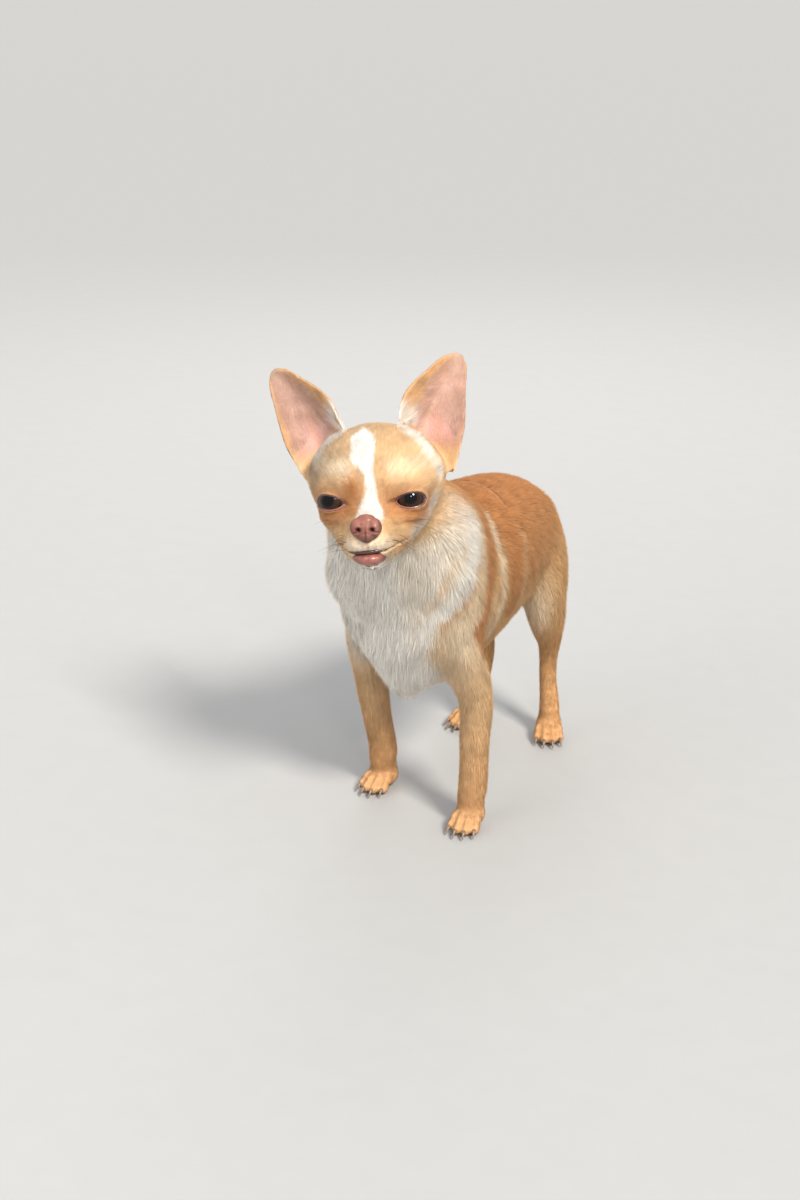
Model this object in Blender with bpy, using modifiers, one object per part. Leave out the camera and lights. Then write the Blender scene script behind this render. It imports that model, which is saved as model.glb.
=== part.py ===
"""A life-size standing chihuahua, built as parted solids.

The dog faces -Y, its left side is +X, and +Z is up. The head turns a little to the dog's left and looks up.
The soft forms are lofts and ellipsoids, fused by a voxel remesh, then parted by thin cuts at the joints.
"""

import math

import bmesh
import bpy
import numpy as np
from mathutils import Matrix, Vector

GAP = 0.0003  # kept between two pieces that meet

# Driving sizes of the dog, in metres
WITHERS_HEIGHT = 0.201
EYE_RADIUS = 0.0096
EAR_LENGTHS = {1: 0.0605, -1: 0.0635}  # the left ear, then the right one
EAR_THICKNESS = 0.0020
CLAW_LENGTH = 0.0070
CLAW_RADIUS = 0.0015
CLAW_TIP_RADIUS = 0.0003

# How the head is carried
HEAD_CENTRE = Vector((-0.0070, -0.1050, 0.2285))
HEAD_YAW = math.radians(20)
HEAD_PITCH = math.radians(12)
HEAD_ROLL = math.radians(4)
HEAD = (
    Matrix.Translation(HEAD_CENTRE)
    @ Matrix.Rotation(HEAD_YAW, 4, "Z")
    @ Matrix.Rotation(-HEAD_PITCH, 4, "X")
    @ Matrix.Rotation(-HEAD_ROLL, 4, "Y")
)

# Detail of the fused body and of its facets
VOXEL = 0.0013
BODY_TRIANGLES = 7600
NOSE_VOXEL = 0.0006
NOSE_TRIANGLES = 260
SOLVER = "EXACT"
LOFT_SIDES = 28
FORWARDS = Vector((0, -1, 0.01))
STEPS_BETWEEN_STATIONS = 4

# Finishes: colour, roughness, and the nodes that have each
FINISHES = {
    "fur_rust": ((0.52, 0.30, 0.15), 0.85, ("torso", "tail", "hindleg_left", "hindleg_right")),
    "fur_tan": ((0.66, 0.45, 0.27), 0.85, ("head", "foreleg_left", "foreleg_right")),
    "fur_white": ((0.85, 0.82, 0.76), 0.85, ("neck", "jaw")),
    "fur_paws": ((0.62, 0.38, 0.20), 0.85, ("forepaw_left", "forepaw_right", "hindpaw_left", "hindpaw_right")),
    "ear_skin": ((0.70, 0.42, 0.36), 0.75, ("ear_left", "ear_right")),
    "nose_leather": ((0.36, 0.14, 0.12), 0.45, ("nose",)),
    "lip_skin": ((0.55, 0.20, 0.18), 0.35, ("lower_lip",)),
    "eye_glass": ((0.035, 0.015, 0.010), 0.05, ("eye_left", "eye_right")),
}

# Torso stations from the chest to the rump: y, top, bottom, half width, egg (wider above than below)
TORSO = (
    (-0.1000, 0.1500, 0.1220, 0.0120, 0.00),
    (-0.0960, 0.1660, 0.1060, 0.0270, 0.05),
    (-0.0830, 0.1820, 0.0930, 0.0370, 0.10),
    (-0.0600, 0.1960, 0.0850, 0.0425, 0.15),
    (-0.0330, WITHERS_HEIGHT, 0.0840, 0.0440, 0.18),
    (0.0000, 0.2000, 0.0880, 0.0440, 0.18),
    (0.0280, 0.1970, 0.0950, 0.0420, 0.12),
    (0.0550, 0.1920, 0.1020, 0.0385, 0.08),
    (0.0740, 0.1850, 0.1090, 0.0345, 0.05),
    (0.0880, 0.1740, 0.1190, 0.0270, 0.00),
    (0.0960, 0.1600, 0.1320, 0.0140, 0.00),
)

# Neck and limb stations run outwards from the trunk: x, y, z, half width across, half depth
NECK = (
    (0.0000, -0.0250, 0.1480, 0.0400, 0.0460),
    (-0.0010, -0.0440, 0.1600, 0.0440, 0.0480),
    (-0.0040, -0.0620, 0.1740, 0.0470, 0.0460),
    (-0.0070, -0.0760, 0.1880, 0.0465, 0.0420),
    (-0.0085, -0.0870, 0.2030, 0.0410, 0.0360),
    (-0.0070, -0.0950, 0.2180, 0.0310, 0.0280),
)
FORELEG_LEFT = (
    (0.0270, -0.0560, 0.1620, 0.0130, 0.0200),
    (0.0290, -0.0660, 0.1420, 0.0140, 0.0190),
    (0.0305, -0.0690, 0.1200, 0.0130, 0.0160),
    (0.0335, -0.0640, 0.1000, 0.0125, 0.0150),
    (0.0370, -0.0600, 0.0820, 0.0114, 0.0124),
    (0.0370, -0.0615, 0.0620, 0.0105, 0.0106),
    (0.0370, -0.0620, 0.0440, 0.0098, 0.0098),
    (0.0370, -0.0630, 0.0280, 0.0098, 0.0100),
    (0.0370, -0.0650, 0.0120, 0.0096, 0.0104),
)
FORELEG_RIGHT = (
    (-0.0280, -0.0560, 0.1620, 0.0130, 0.0200),
    (-0.0330, -0.0640, 0.1420, 0.0145, 0.0220),
    (-0.0360, -0.0630, 0.1200, 0.0140, 0.0190),
    (-0.0380, -0.0580, 0.1000, 0.0128, 0.0150),
    (-0.0385, -0.0545, 0.0820, 0.0115, 0.0122),
    (-0.0382, -0.0500, 0.0620, 0.0105, 0.0106),
    (-0.0378, -0.0450, 0.0440, 0.0098, 0.0098),
    (-0.0375, -0.0405, 0.0280, 0.0098, 0.0100),
    (-0.0375, -0.0400, 0.0120, 0.0096, 0.0104),
)
HINDLEG_LEFT = (
    (0.0180, 0.0680, 0.1650, 0.0150, 0.0190),
    (0.0235, 0.0660, 0.1450, 0.0150, 0.0270),
    (0.0265, 0.0690, 0.1240, 0.0142, 0.0285),
    (0.0275, 0.0710, 0.1030, 0.0128, 0.0255),
    (0.0270, 0.0780, 0.0850, 0.0106, 0.0188),
    (0.0252, 0.0850, 0.0700, 0.0086, 0.0120),
    (0.0232, 0.0885, 0.0560, 0.0070, 0.0090),
    (0.0235, 0.0870, 0.0430, 0.0066, 0.0078),
    (0.0260, 0.0845, 0.0270, 0.0072, 0.0078),
    (0.0285, 0.0815, 0.0120, 0.0085, 0.0105),
)
HIND_RIGHT_INWARD = 0.0010
HIND_RIGHT_AHEAD = 0.0040
HINDLEG_RIGHT = tuple(
    (-x + HIND_RIGHT_INWARD, y - HIND_RIGHT_AHEAD, z, across, depth) for x, y, z, across, depth in HINDLEG_LEFT
)
TAIL = (
    (0.0000, 0.0800, 0.1580, 0.0130, 0.0130),
    (0.0000, 0.0930, 0.1590, 0.0112, 0.0110),
    (0.0000, 0.1050, 0.1540, 0.0096, 0.0094),
    (-0.0010, 0.1140, 0.1430, 0.0088, 0.0086),
    (-0.0020, 0.1190, 0.1280, 0.0082, 0.0082),
    (-0.0030, 0.1210, 0.1110, 0.0074, 0.0074),
    (-0.0040, 0.1230, 0.0950, 0.0060, 0.0060),
    (-0.0045, 0.1260, 0.0820, 0.0040, 0.0040),
    (-0.0045, 0.1285, 0.0760, 0.0014, 0.0014),
)

# Muscle masses of the trunk: centre, radii
MASSES = (
    ((0.0285, -0.0640, 0.1460), (0.0165, 0.0235, 0.0350)),
    ((-0.0325, -0.0660, 0.1460), (0.0190, 0.0270, 0.0360)),
    ((0.0080, -0.0760, 0.1660), (0.0360, 0.0290, 0.0340)),
    ((-0.0150, -0.0820, 0.1660), (0.0385, 0.0300, 0.0340)),
    ((0.0365, -0.0475, 0.0900), (0.0060, 0.0075, 0.0110)),
    ((-0.0385, -0.0430, 0.0880), (0.0060, 0.0075, 0.0110)),
    ((-0.0010, -0.0800, 0.1220), (0.0260, 0.0190, 0.0330)),
    ((-0.0020, -0.0840, 0.1010), (0.0130, 0.0110, 0.0150)),
    ((0.0180, 0.0640, 0.1480), (0.0185, 0.0290, 0.0330)),
    ((-0.0180, 0.0620, 0.1480), (0.0185, 0.0290, 0.0330)),
)

# Head forms in the head's own frame: centre, radii. The paired ones are mirrored.
SKULL_FORMS = (
    ((0.0, 0.0, 0.0010), (0.0400, 0.0370, 0.0322)),
    ((0.0, 0.0060, -0.0060), (0.0375, 0.0350, 0.0290)),
    ((0.0, -0.0070, -0.0130), (0.0325, 0.0280, 0.0290)),
)
PAIRED_FORMS = (
    ((0.0165, -0.0160, -0.0015), (0.0190, 0.0160, 0.0135)),
    ((0.0180, -0.0150, -0.0165), (0.0150, 0.0170, 0.0130)),
)
# Muzzle stations in the head's frame, from the lip to the cheeks: y, top, bottom, half width, egg
MUZZLE = (
    (-0.0545, -0.0230, -0.0350, 0.0050, 0.00),
    (-0.0530, -0.0180, -0.0415, 0.0095, 0.00),
    (-0.0490, -0.0162, -0.0460, 0.0122, 0.00),
    (-0.0430, -0.0152, -0.0475, 0.0148, 0.04),
    (-0.0370, -0.0130, -0.0475, 0.0182, 0.08),
    (-0.0300, -0.0090, -0.0465, 0.0225, 0.12),
    (-0.0200, -0.0050, -0.0450, 0.0265, 0.15),
    (-0.0080, -0.0050, -0.0430, 0.0280, 0.15),
)
EYE_SEGMENTS = 22
EYE_CENTRE = Vector((0.0212, -0.0232, -0.0095))
LID_MOUND_RADIUS = EYE_RADIUS + 0.0015
LID_TURN = math.radians(16)
LID_OPENING = (0.0090, 0.0120, 0.0046)
NOSE_PARTS = (
    ((0.0, -0.0535, -0.0225), (0.0078, 0.0060, 0.0068)),
    ((0.0042, -0.0550, -0.0225), (0.0045, 0.0046, 0.0050)),
    ((-0.0042, -0.0550, -0.0225), (0.0045, 0.0046, 0.0050)),
)
NOSTRIL = ((0.0036, -0.0600, -0.0232), (0.0015, 0.0034, 0.0011))
LIP = ((0.0, -0.0505, -0.0400), (0.0092, 0.0045, 0.0034))
MOUTH_FRONT = Vector((0.0, -0.0600, -0.0385))
MOUTH_SLOPE = math.radians(13)
JAW_REACH = 0.0245

# Ear rows from root to tip: share of the length, half width, depth of the cup, how far its edges curl forward
EAR = (
    (-0.12, 0.0180, 0.0120, 0.0080),
    (0.00, 0.0190, 0.0130, 0.0060),
    (0.15, 0.0198, 0.0130, 0.0040),
    (0.35, 0.0195, 0.0105, 0.0015),
    (0.50, 0.0176, 0.0080, 0.0000),
    (0.65, 0.0143, 0.0055, 0.0000),
    (0.80, 0.0100, 0.0032, 0.0000),
    (0.92, 0.0058, 0.0016, 0.0000),
    (1.00, 0.0016, 0.0006, 0.0000),
)
EAR_ACROSS, EAR_ALONG = 10, 12
EAR_ROOT = Vector((0.0280, 0.0040, 0.0145))
EAR_LEANS = {1: math.radians(24), -1: math.radians(38)}
EAR_BOWS = {1: 0.0036, -1: 0.0008}  # how far the middle of an ear bows inwards
EAR_BACK = math.radians(6)
EAR_TURN = math.radians(20)

PAW_WIDTH, PAW_LENGTH, PAW_HEIGHT = 0.0215, 0.0270, 0.0115
PAWS = {
    "forepaw_left": (0.0370, -0.0690, math.radians(6)),
    "forepaw_right": (-0.0375, -0.0430, math.radians(-4)),
    "hindpaw_left": (0.0295, 0.0770, math.radians(22)),
    "hindpaw_right": (-0.0285, 0.0730, math.radians(-16)),
}
# Toes: sideways place, how far forward, turn in degrees
TOES = ((-0.0076, 0.0000, 12), (-0.0027, 0.0038, 4), (0.0027, 0.0038, -4), (0.0076, 0.0000, -12))
TOE_RADII = (0.0033, 0.0078, 0.0060)
TOE_AHEAD, TOE_HEIGHT = 0.0062, 0.0054
CLAW_HEIGHT = 0.0036
CLAW_TILT = math.radians(112)

# Cuts across the neck and the tail: middle of the cut face, direction to the node, and how far the box
# reaches from the middle to the right, left, front, back and away from the face
CUTS = {
    "head": ((-0.0065, -0.0840, 0.1960), (0.0, -0.45, 0.89), (0.10, 0.10, 0.10, 0.10, 0.20)),
    "neck": ((0.0, -0.0500, 0.1620), (0.0, -0.55, 0.83), (0.07, 0.07, 0.08, 0.08, 0.10)),
    "tail": ((0.0, 0.1020, 0.1400), (0.0, 1.0, 0.0), (0.02, 0.02, 0.09, 0.09, 0.06)),
}
# Cuts across the limbs: inner and outer side, front, back, and the height of the top face inside and outside
PAW_TOP = 0.0200
LIMB_CUTS = {
    "forepaw_left": (0.0180, 0.0600, -0.1000, -0.0400, PAW_TOP, PAW_TOP),
    "forepaw_right": (-0.0180, -0.0600, -0.0900, -0.0200, PAW_TOP, PAW_TOP),
    "hindpaw_left": (0.0050, 0.0600, 0.0450, 0.1100, PAW_TOP, PAW_TOP),
    "hindpaw_right": (-0.0050, -0.0600, 0.0400, 0.1100, PAW_TOP, PAW_TOP),
    "foreleg_left": (0.0215, 0.0700, -0.1050, -0.0340, 0.1000, 0.1400),
    "foreleg_right": (-0.0215, -0.0700, -0.1050, -0.0250, 0.1000, 0.1400),
    "hindleg_left": (0.0030, 0.0700, 0.0300, 0.1200, 0.1120, 0.1640),
    "hindleg_right": (-0.0030, -0.0700, 0.0300, 0.1200, 0.1120, 0.1640),
}


def clear_scene():
    """Removes whatever the scene holds."""
    for old in list(bpy.data.objects):
        bpy.data.objects.remove(old)


def new_collection(name):
    """Links and returns a collection."""
    found = bpy.data.collections.new(name)
    bpy.context.scene.collection.children.link(found)
    return found


def dress(nodes):
    """Gives every node its plain finish."""
    for name, (colour, roughness, dressed) in FINISHES.items():
        made = bpy.data.materials.new(name)
        made.use_nodes = True
        shader = made.node_tree.nodes["Principled BSDF"]
        shader.inputs["Base Color"].default_value = (*colour, 1.0)
        shader.inputs["Roughness"].default_value = roughness
        for node in dressed:
            nodes[node].data.materials.clear()
            nodes[node].data.materials.append(made)


def piece(name, build, collection):
    """Makes an object from what build adds to a bmesh."""
    bm = bmesh.new()
    build(bm)
    bmesh.ops.recalc_face_normals(bm, faces=bm.faces)
    mesh = bpy.data.meshes.new(name)
    bm.to_mesh(mesh)
    bm.free()
    made = bpy.data.objects.new(name, mesh)
    collection.objects.link(made)
    return made


def settle(obj):
    """Replaces the object's mesh by the one that its modifiers make."""
    graph = bpy.context.evaluated_depsgraph_get()
    mesh = bpy.data.meshes.new_from_object(obj.evaluated_get(graph))
    obj.modifiers.clear()
    obj.data = mesh
    return obj


def smooth_rows(stations, steps=STEPS_BETWEEN_STATIONS):
    """Rows on smooth curves through the given stations."""
    rows = np.array(stations, float)
    padded = np.vstack([2 * rows[0] - rows[1], rows, 2 * rows[-1] - rows[-2]])
    out = []
    for before, a, b, after in zip(padded, padded[1:], padded[2:], padded[3:]):
        for t in np.arange(steps) / steps:
            curve = 2 * a + (b - before) * t + (2 * before - 5 * a + 4 * b - after) * t**2
            out.append((curve + (3 * a - before - 3 * b + after) * t**3) / 2)
    out.append(rows[-1])
    return np.array(out)


def add_ring(bm, centre, across, along, egg=0.0, place=Matrix.Identity(4)):
    """Adds one ring of a loft, wider on one side by egg, and returns its edges."""
    made = bmesh.ops.create_circle(bm, cap_ends=False, segments=LOFT_SIDES, radius=1.0)["verts"]
    for vert in made:
        x, y = vert.co.x, vert.co.y
        vert.co = place @ (centre + across * (x * (1 + egg * y)) + along * y)
    return list({edge for vert in made for edge in vert.link_edges})


def bridge(bm, rings):
    """Joins rings of edges into a closed tube."""
    for a, b in zip(rings, rings[1:]):
        bmesh.ops.bridge_loops(bm, edges=a + b)
    bmesh.ops.contextual_create(bm, geom=rings[0])
    bmesh.ops.contextual_create(bm, geom=rings[-1])


def add_limb(bm, stations):
    """Adds a closed loft through stations of x, y, z, half width and half depth, square to its own middle line."""
    rows = smooth_rows(stations)
    tangents = np.gradient(rows[:, :3], axis=0)
    rings = []
    for (*centre, half_width, half_depth), tangent in zip(rows, tangents):
        tangent = Vector(tangent).normalized()
        across = FORWARDS.cross(tangent).normalized()
        along = across.cross(tangent)
        rings.append(add_ring(bm, Vector(centre), across * half_width, along * half_depth))
    bridge(bm, rings)


def add_barrel(bm, stations, place=Matrix.Identity(4)):
    """Adds a closed loft of upright rings through stations of y, top, bottom, half width and egg."""
    rings = []
    for y, top, bottom, half_width, egg in smooth_rows(stations):
        centre, half_height = Vector((0, y, (top + bottom) / 2)), (top - bottom) / 2
        rings.append(add_ring(bm, centre, Vector((half_width, 0, 0)), Vector((0, 0, half_height)), egg, place))
    bridge(bm, rings)


def add_ellipsoid(bm, centre, radii, place=Matrix.Identity(4), turn=Matrix.Identity(4), segments=32):
    """Adds an ellipsoid of the radii, turned, then centred in the frame of place."""
    matrix = place @ Matrix.Translation(centre) @ turn @ Matrix.Diagonal((*radii, 1.0))
    bmesh.ops.create_uvsphere(bm, u_segments=segments, v_segments=segments // 2, radius=1.0, matrix=matrix)


def mirrored(centre, side):
    """A point on the dog's left (side 1) or right (side -1)."""
    return Vector((centre[0] * side, centre[1], centre[2]))


def paw_frame(name):
    """The frame of a paw, on the floor under its middle."""
    x, y, turn = PAWS[name]
    return Matrix.Translation((x, y, 0.0)) @ Matrix.Rotation(turn, 4, "Z")


def add_paw(bm, place):
    """Adds a paw: its rounded body and four toes, the middle two foremost."""
    add_ellipsoid(bm, (0.0, 0.0035, 0.0080), (PAW_WIDTH * 0.46, PAW_LENGTH * 0.42, PAW_HEIGHT * 0.85), place)
    for x, reach, turn in TOES:
        splay = Matrix.Rotation(math.radians(-turn), 4, "Z")
        add_ellipsoid(bm, (x, -TOE_AHEAD - reach, TOE_HEIGHT), TOE_RADII, place, splay)


def add_trunk(bm):
    """Adds the torso, neck, limbs, paws and tail."""
    add_barrel(bm, TORSO)
    for stations in (NECK, FORELEG_LEFT, FORELEG_RIGHT, HINDLEG_LEFT, HINDLEG_RIGHT, TAIL):
        add_limb(bm, stations)
    for centre, radii in MASSES:
        add_ellipsoid(bm, centre, radii)
    for name in PAWS:
        add_paw(bm, paw_frame(name))


def add_head(bm):
    """Adds the skull, cheeks and brows, the muzzle, and the mounds of the lids."""
    for centre, radii in SKULL_FORMS:
        add_ellipsoid(bm, centre, radii, HEAD, segments=64)
    add_barrel(bm, MUZZLE, HEAD)
    for side in (1, -1):
        for centre, radii in PAIRED_FORMS:
            add_ellipsoid(bm, mirrored(centre, side), radii, HEAD, segments=48)
        add_ellipsoid(bm, mirrored(EYE_CENTRE, side), (LID_MOUND_RADIUS,) * 3, HEAD, segments=48)


def smoothing_weights(points):
    """How much each point is smoothed: fully on the trunk, less on limbs, least on the head and paws."""
    head = np.linalg.norm(points - np.array(HEAD_CENTRE), axis=1)
    weights = np.clip((head - 0.040) / 0.030, 0.30, 1.0)
    weights *= np.clip((points[:, 2] - 0.010) / 0.030, 0.10, 1.0)
    thin = (points[:, 1] > 0.102) | (points[:, 2] < 0.075)
    return np.where(thin, np.minimum(weights, 0.35), weights)


def fuse(obj, voxel, triangles, evening, soften=0):
    """Fuses overlapping closed forms into one skin, smooths it and brings it down to its facets."""
    remesh = obj.modifiers.new("Fuse", "REMESH")
    remesh.mode = "VOXEL"
    remesh.voxel_size = voxel
    settle(obj)
    if soften:
        points = np.empty(len(obj.data.vertices) * 3, np.float32)
        obj.data.vertices.foreach_get("co", points)
        group = obj.vertex_groups.new(name="Soften")
        for index, weight in enumerate(smoothing_weights(points.reshape(-1, 3))):
            group.add([index], float(weight), "REPLACE")
        softened = obj.modifiers.new("Soften", "SMOOTH")
        softened.factor = 0.5
        softened.iterations = soften
        softened.vertex_group = group.name
    even = obj.modifiers.new("Even", "SMOOTH")
    even.factor = 0.5
    even.iterations = evening
    settle(obj)
    thin = obj.modifiers.new("Thin", "DECIMATE")
    thin.ratio = triangles / (2 * len(obj.data.polygons))
    settle(obj)
    obj.vertex_groups.clear()
    return obj


def boolean(obj, other, operation):
    """Applies a Boolean of the object with another."""
    modifier = obj.modifiers.new(operation.title(), "BOOLEAN")
    modifier.operation = operation
    modifier.solver = SOLVER
    modifier.object = other
    return settle(obj)


def keep_largest(obj):
    """Drops every closed surface of the object but its largest."""
    bm = bmesh.new()
    bm.from_mesh(obj.data)
    waiting = set(bm.faces)
    shells = []
    while waiting:
        shell, edge = set(), [waiting.pop()]
        while edge:
            face = edge.pop()
            shell.add(face)
            near = {other for side in face.edges for other in side.link_faces} & waiting
            waiting -= near
            edge.extend(near)
        shells.append(shell)
    shells.sort(key=len)
    for shell in shells[:-1]:
        bmesh.ops.delete(bm, geom=list(shell), context="FACES")
    bm.to_mesh(obj.data)
    bm.free()
    return obj


def copied(obj, name, collection):
    """A copy of the object with its own mesh."""
    made = bpy.data.objects.new(name, obj.data.copy())
    collection.objects.link(made)
    return made


def box_between(bm, low, high, frame=Matrix.Identity(4)):
    """Adds a box between two corners of a frame and returns its verts."""
    low, high = Vector(low), Vector(high)
    matrix = frame @ Matrix.Translation((low + high) / 2) @ Matrix.Diagonal((*(high - low), 1.0))
    return bmesh.ops.create_cube(bm, size=1.0, matrix=matrix)["verts"]


def slanted_cutter(name, cut, grown, tools):
    """A box whose near face is the cut, turned so that its depth runs towards the node."""
    middle, towards, (right, left, front, back, far) = cut
    depth = Vector(towards).normalized()
    side = Vector((1, 0, 0))
    frame = Matrix.Translation(middle) @ Matrix((side, depth.cross(side), depth)).transposed().to_4x4()
    low, high = (-right - grown, -front - grown, -grown), (left + grown, back + grown, far + grown)
    return piece(name, lambda bm: box_between(bm, low, high, frame), tools)


def limb_cutter(name, cut, grown, tools):
    """A box over the floor whose top face slopes up to the outer side of the limb."""
    inner, outer, front, back, top_inner, top_outer = cut
    side = math.copysign(1.0, outer)
    low = (min(inner - grown * side, outer), front - grown, -grown)
    high = (max(inner - grown * side, outer), back + grown, max(top_inner, top_outer))

    def build(bm):
        for vert in box_between(bm, low, high):
            if vert.co.z > 0:
                share = (vert.co.x - inner) / (outer - inner)
                vert.co.z = top_inner + (top_outer - top_inner) * share + grown

    return piece(name, build, tools)


def part_off(whole, name, make_cutter, cut, parts, tools):
    """Makes a node from what a cutter holds of the body, and takes a slightly wider cutter out of the body."""
    node = copied(whole, name, parts)
    cutter, wider = make_cutter("cutter", cut, 0.0, tools), make_cutter("wider", cut, GAP, tools)
    boolean(node, cutter, "INTERSECT")
    boolean(whole, wider, "DIFFERENCE")
    for used in (cutter, wider):
        bpy.data.objects.remove(used)
    return keep_largest(node)


def cut_by(obj, name, build, tools):
    """Cuts what build makes out of the object."""
    tool = piece(name, build, tools)
    boolean(obj, tool, "DIFFERENCE")
    bpy.data.objects.remove(tool)
    return obj


def swollen(obj, name, by, tools):
    """A copy of the object grown outwards."""
    made = copied(obj, name, tools)
    grow = made.modifiers.new("Grow", "DISPLACE")
    grow.mid_level = 0.0
    grow.strength = by
    return settle(made)


def open_eyes(head, tools):
    """Cuts the eye sockets and the openings between the lids."""
    radii = (EYE_RADIUS + GAP,) * 3
    for side in (1, -1):
        centre = mirrored(EYE_CENTRE, side)
        turn = Matrix.Rotation(LID_TURN * side, 4, "Z")
        front = centre + turn @ Vector((0, -EYE_RADIUS, 0))
        cut_by(head, "socket", lambda bm: add_ellipsoid(bm, centre, radii, HEAD, segments=EYE_SEGMENTS), tools)
        cut_by(head, "opening", lambda bm: add_ellipsoid(bm, front, LID_OPENING, HEAD, turn), tools)


def make_eye(name, side, parts):
    """Makes an eyeball in its socket."""
    centre = mirrored(EYE_CENTRE, side)
    return piece(name, lambda bm: add_ellipsoid(bm, centre, (EYE_RADIUS,) * 3, HEAD, segments=EYE_SEGMENTS), parts)


def add_ear(bm, side):
    """Adds the open sheet of an ear: a leaf-shaped cup that opens forwards and outwards."""
    rows = smooth_rows(EAR, 8)
    turn = Matrix.Rotation(EAR_TURN * side, 4, "Z") @ Matrix.Rotation(EAR_LEANS[side] * side, 4, "Y")
    turn = turn @ Matrix.Rotation(-EAR_BACK, 4, "X")
    place = HEAD @ Matrix.Translation(mirrored(EAR_ROOT, side)) @ turn
    sheet = bmesh.ops.create_grid(bm, x_segments=EAR_ACROSS, y_segments=EAR_ALONG, size=1.0)["verts"]
    bmesh.ops.triangulate(bm, faces=bm.faces)
    for vert in sheet:
        u, share = vert.co.x, EAR[0][0] + (EAR[-1][0] - EAR[0][0]) * (vert.co.y + 1) / 2
        half, cup, curl = [float(np.interp(share, rows[:, 0], rows[:, k])) for k in (1, 2, 3)]
        deep = cup * (1 - u * u) - curl * u * u
        bow = EAR_BOWS[side] * side * math.sin(math.pi * max(share, 0.0))
        vert.co = place @ Vector((u * half - bow, deep, share * EAR_LENGTHS[side]))


def make_ear(name, side, head, parts, tools):
    """Makes an ear as a walled cup, trimmed where it meets the head."""
    ear = piece(name, lambda bm: add_ear(bm, side), parts)
    wall = ear.modifiers.new("Wall", "SOLIDIFY")
    wall.thickness = EAR_THICKNESS
    wall.offset = 0.0
    settle(ear)
    near = swollen(head, "head_swollen", GAP * 1.4, tools)
    boolean(ear, near, "DIFFERENCE")
    bpy.data.objects.remove(near)
    return keep_largest(ear)


def make_nose(parts, tools):
    """Makes the nose pad with its nostrils."""
    nose = piece("nose", lambda bm: [add_ellipsoid(bm, *part, HEAD) for part in NOSE_PARTS], parts)
    fuse(nose, NOSE_VOXEL, NOSE_TRIANGLES, 4)
    for side in (1, -1):
        centre = mirrored(NOSTRIL[0], side)
        cut_by(nose, "nostril", lambda bm: add_ellipsoid(bm, centre, NOSTRIL[1], HEAD, segments=12), tools)
    return nose


def nest(outer, inner, tools):
    """Cuts room for the inner piece, with the gap, out of the outer one."""
    room = swollen(inner, "room", GAP * 1.3, tools)
    boolean(outer, room, "DIFFERENCE")
    bpy.data.objects.remove(room)
    return keep_largest(outer)


def add_claws(bm, name):
    """Adds the claws of a paw: one short cone at the tip of each toe."""
    for x, reach, turn in TOES:
        tip = Matrix.Translation((x * 1.06, -TOE_AHEAD - reach - TOE_RADII[1] * 0.92, CLAW_HEIGHT))
        lie = Matrix.Rotation(math.radians(-turn), 4, "Z") @ Matrix.Rotation(CLAW_TILT, 4, "X")
        matrix = paw_frame(name) @ tip @ lie
        shape = {"segments": 8, "radius1": CLAW_RADIUS, "radius2": CLAW_TIP_RADIUS, "depth": CLAW_LENGTH}
        bmesh.ops.create_cone(bm, cap_ends=True, matrix=matrix, **shape)


def fuse_claws(paw, tools):
    """Joins the claws to their paw."""
    claws = piece("claws", lambda bm: add_claws(bm, paw.name), tools)
    boolean(paw, claws, "UNION")
    bpy.data.objects.remove(claws)


def jaw_cutter(name, cut, grown, tools):
    """A box below the mouth line, tilted as the mouth is."""
    front, slope, reach = cut
    frame = HEAD @ Matrix.Translation(front) @ Matrix.Rotation(slope, 4, "X")
    low, high = (-0.04 - grown, -0.02, -0.05), (0.04 + grown, reach + grown, grown)
    return piece(name, lambda bm: box_between(bm, low, high, frame), tools)


def stand_over_origin(nodes):
    """Moves the nodes so that the whole dog's middle is over the origin, with its soles at zero."""
    points = np.concatenate([[obj.matrix_world @ vert.co for vert in obj.data.vertices] for obj in nodes])
    low, high = points.min(axis=0), points.max(axis=0)
    shift = Matrix.Translation((-(low[0] + high[0]) / 2, -(low[1] + high[1]) / 2, -low[2]))
    for obj in nodes:
        obj.data.transform(shift)


def main():
    """Builds the dog."""
    clear_scene()
    parts, tools = new_collection("chihuahua"), new_collection("cutters")
    whole = piece("torso", lambda bm: (add_trunk(bm), add_head(bm)), parts)
    fuse(whole, VOXEL, BODY_TRIANGLES, 3, soften=50)
    cut_by(whole, "floor", lambda bm: box_between(bm, (-1, -1, -1), (1, 1, 0)), tools)
    nodes = {}
    for name, cut in CUTS.items():
        nodes[name] = part_off(whole, name, slanted_cutter, cut, parts, tools)
    for name, cut in LIMB_CUTS.items():
        nodes[name] = part_off(whole, name, limb_cutter, cut, parts, tools)
    nodes["torso"] = keep_largest(whole)
    head = nodes["head"]
    open_eyes(head, tools)
    nodes["jaw"] = part_off(head, "jaw", jaw_cutter, (MOUTH_FRONT, MOUTH_SLOPE, JAW_REACH), parts, tools)
    for side, word in ((1, "left"), (-1, "right")):
        nodes["eye_" + word] = make_eye("eye_" + word, side, parts)
        nodes["ear_" + word] = make_ear("ear_" + word, side, head, parts, tools)
    nodes["lower_lip"] = piece("lower_lip", lambda bm: add_ellipsoid(bm, *LIP, HEAD, segments=20), parts)
    nodes["nose"] = make_nose(parts, tools)
    for outer in (head, nodes["jaw"]):
        nest(outer, nodes["lower_lip"], tools)
    nest(head, nodes["nose"], tools)
    for name in PAWS:
        fuse_claws(nodes[name], tools)
    dress(nodes)
    stand_over_origin(list(nodes.values()))


main()
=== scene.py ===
"""A life-size chihuahua in its coat: skin, fur, ears, eyes, nose, lips, claws and whiskers, on a pale floor.

Sizes are in metres. The dog faces -Y, its left side is +X, and +Z is up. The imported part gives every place:
the skin is drawn from its solids, and the coat stands on the skin out to their outline.
"""

from __future__ import annotations

import logging
import math
from dataclasses import dataclass, field
from enum import Enum
from typing import Callable, Iterable

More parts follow.
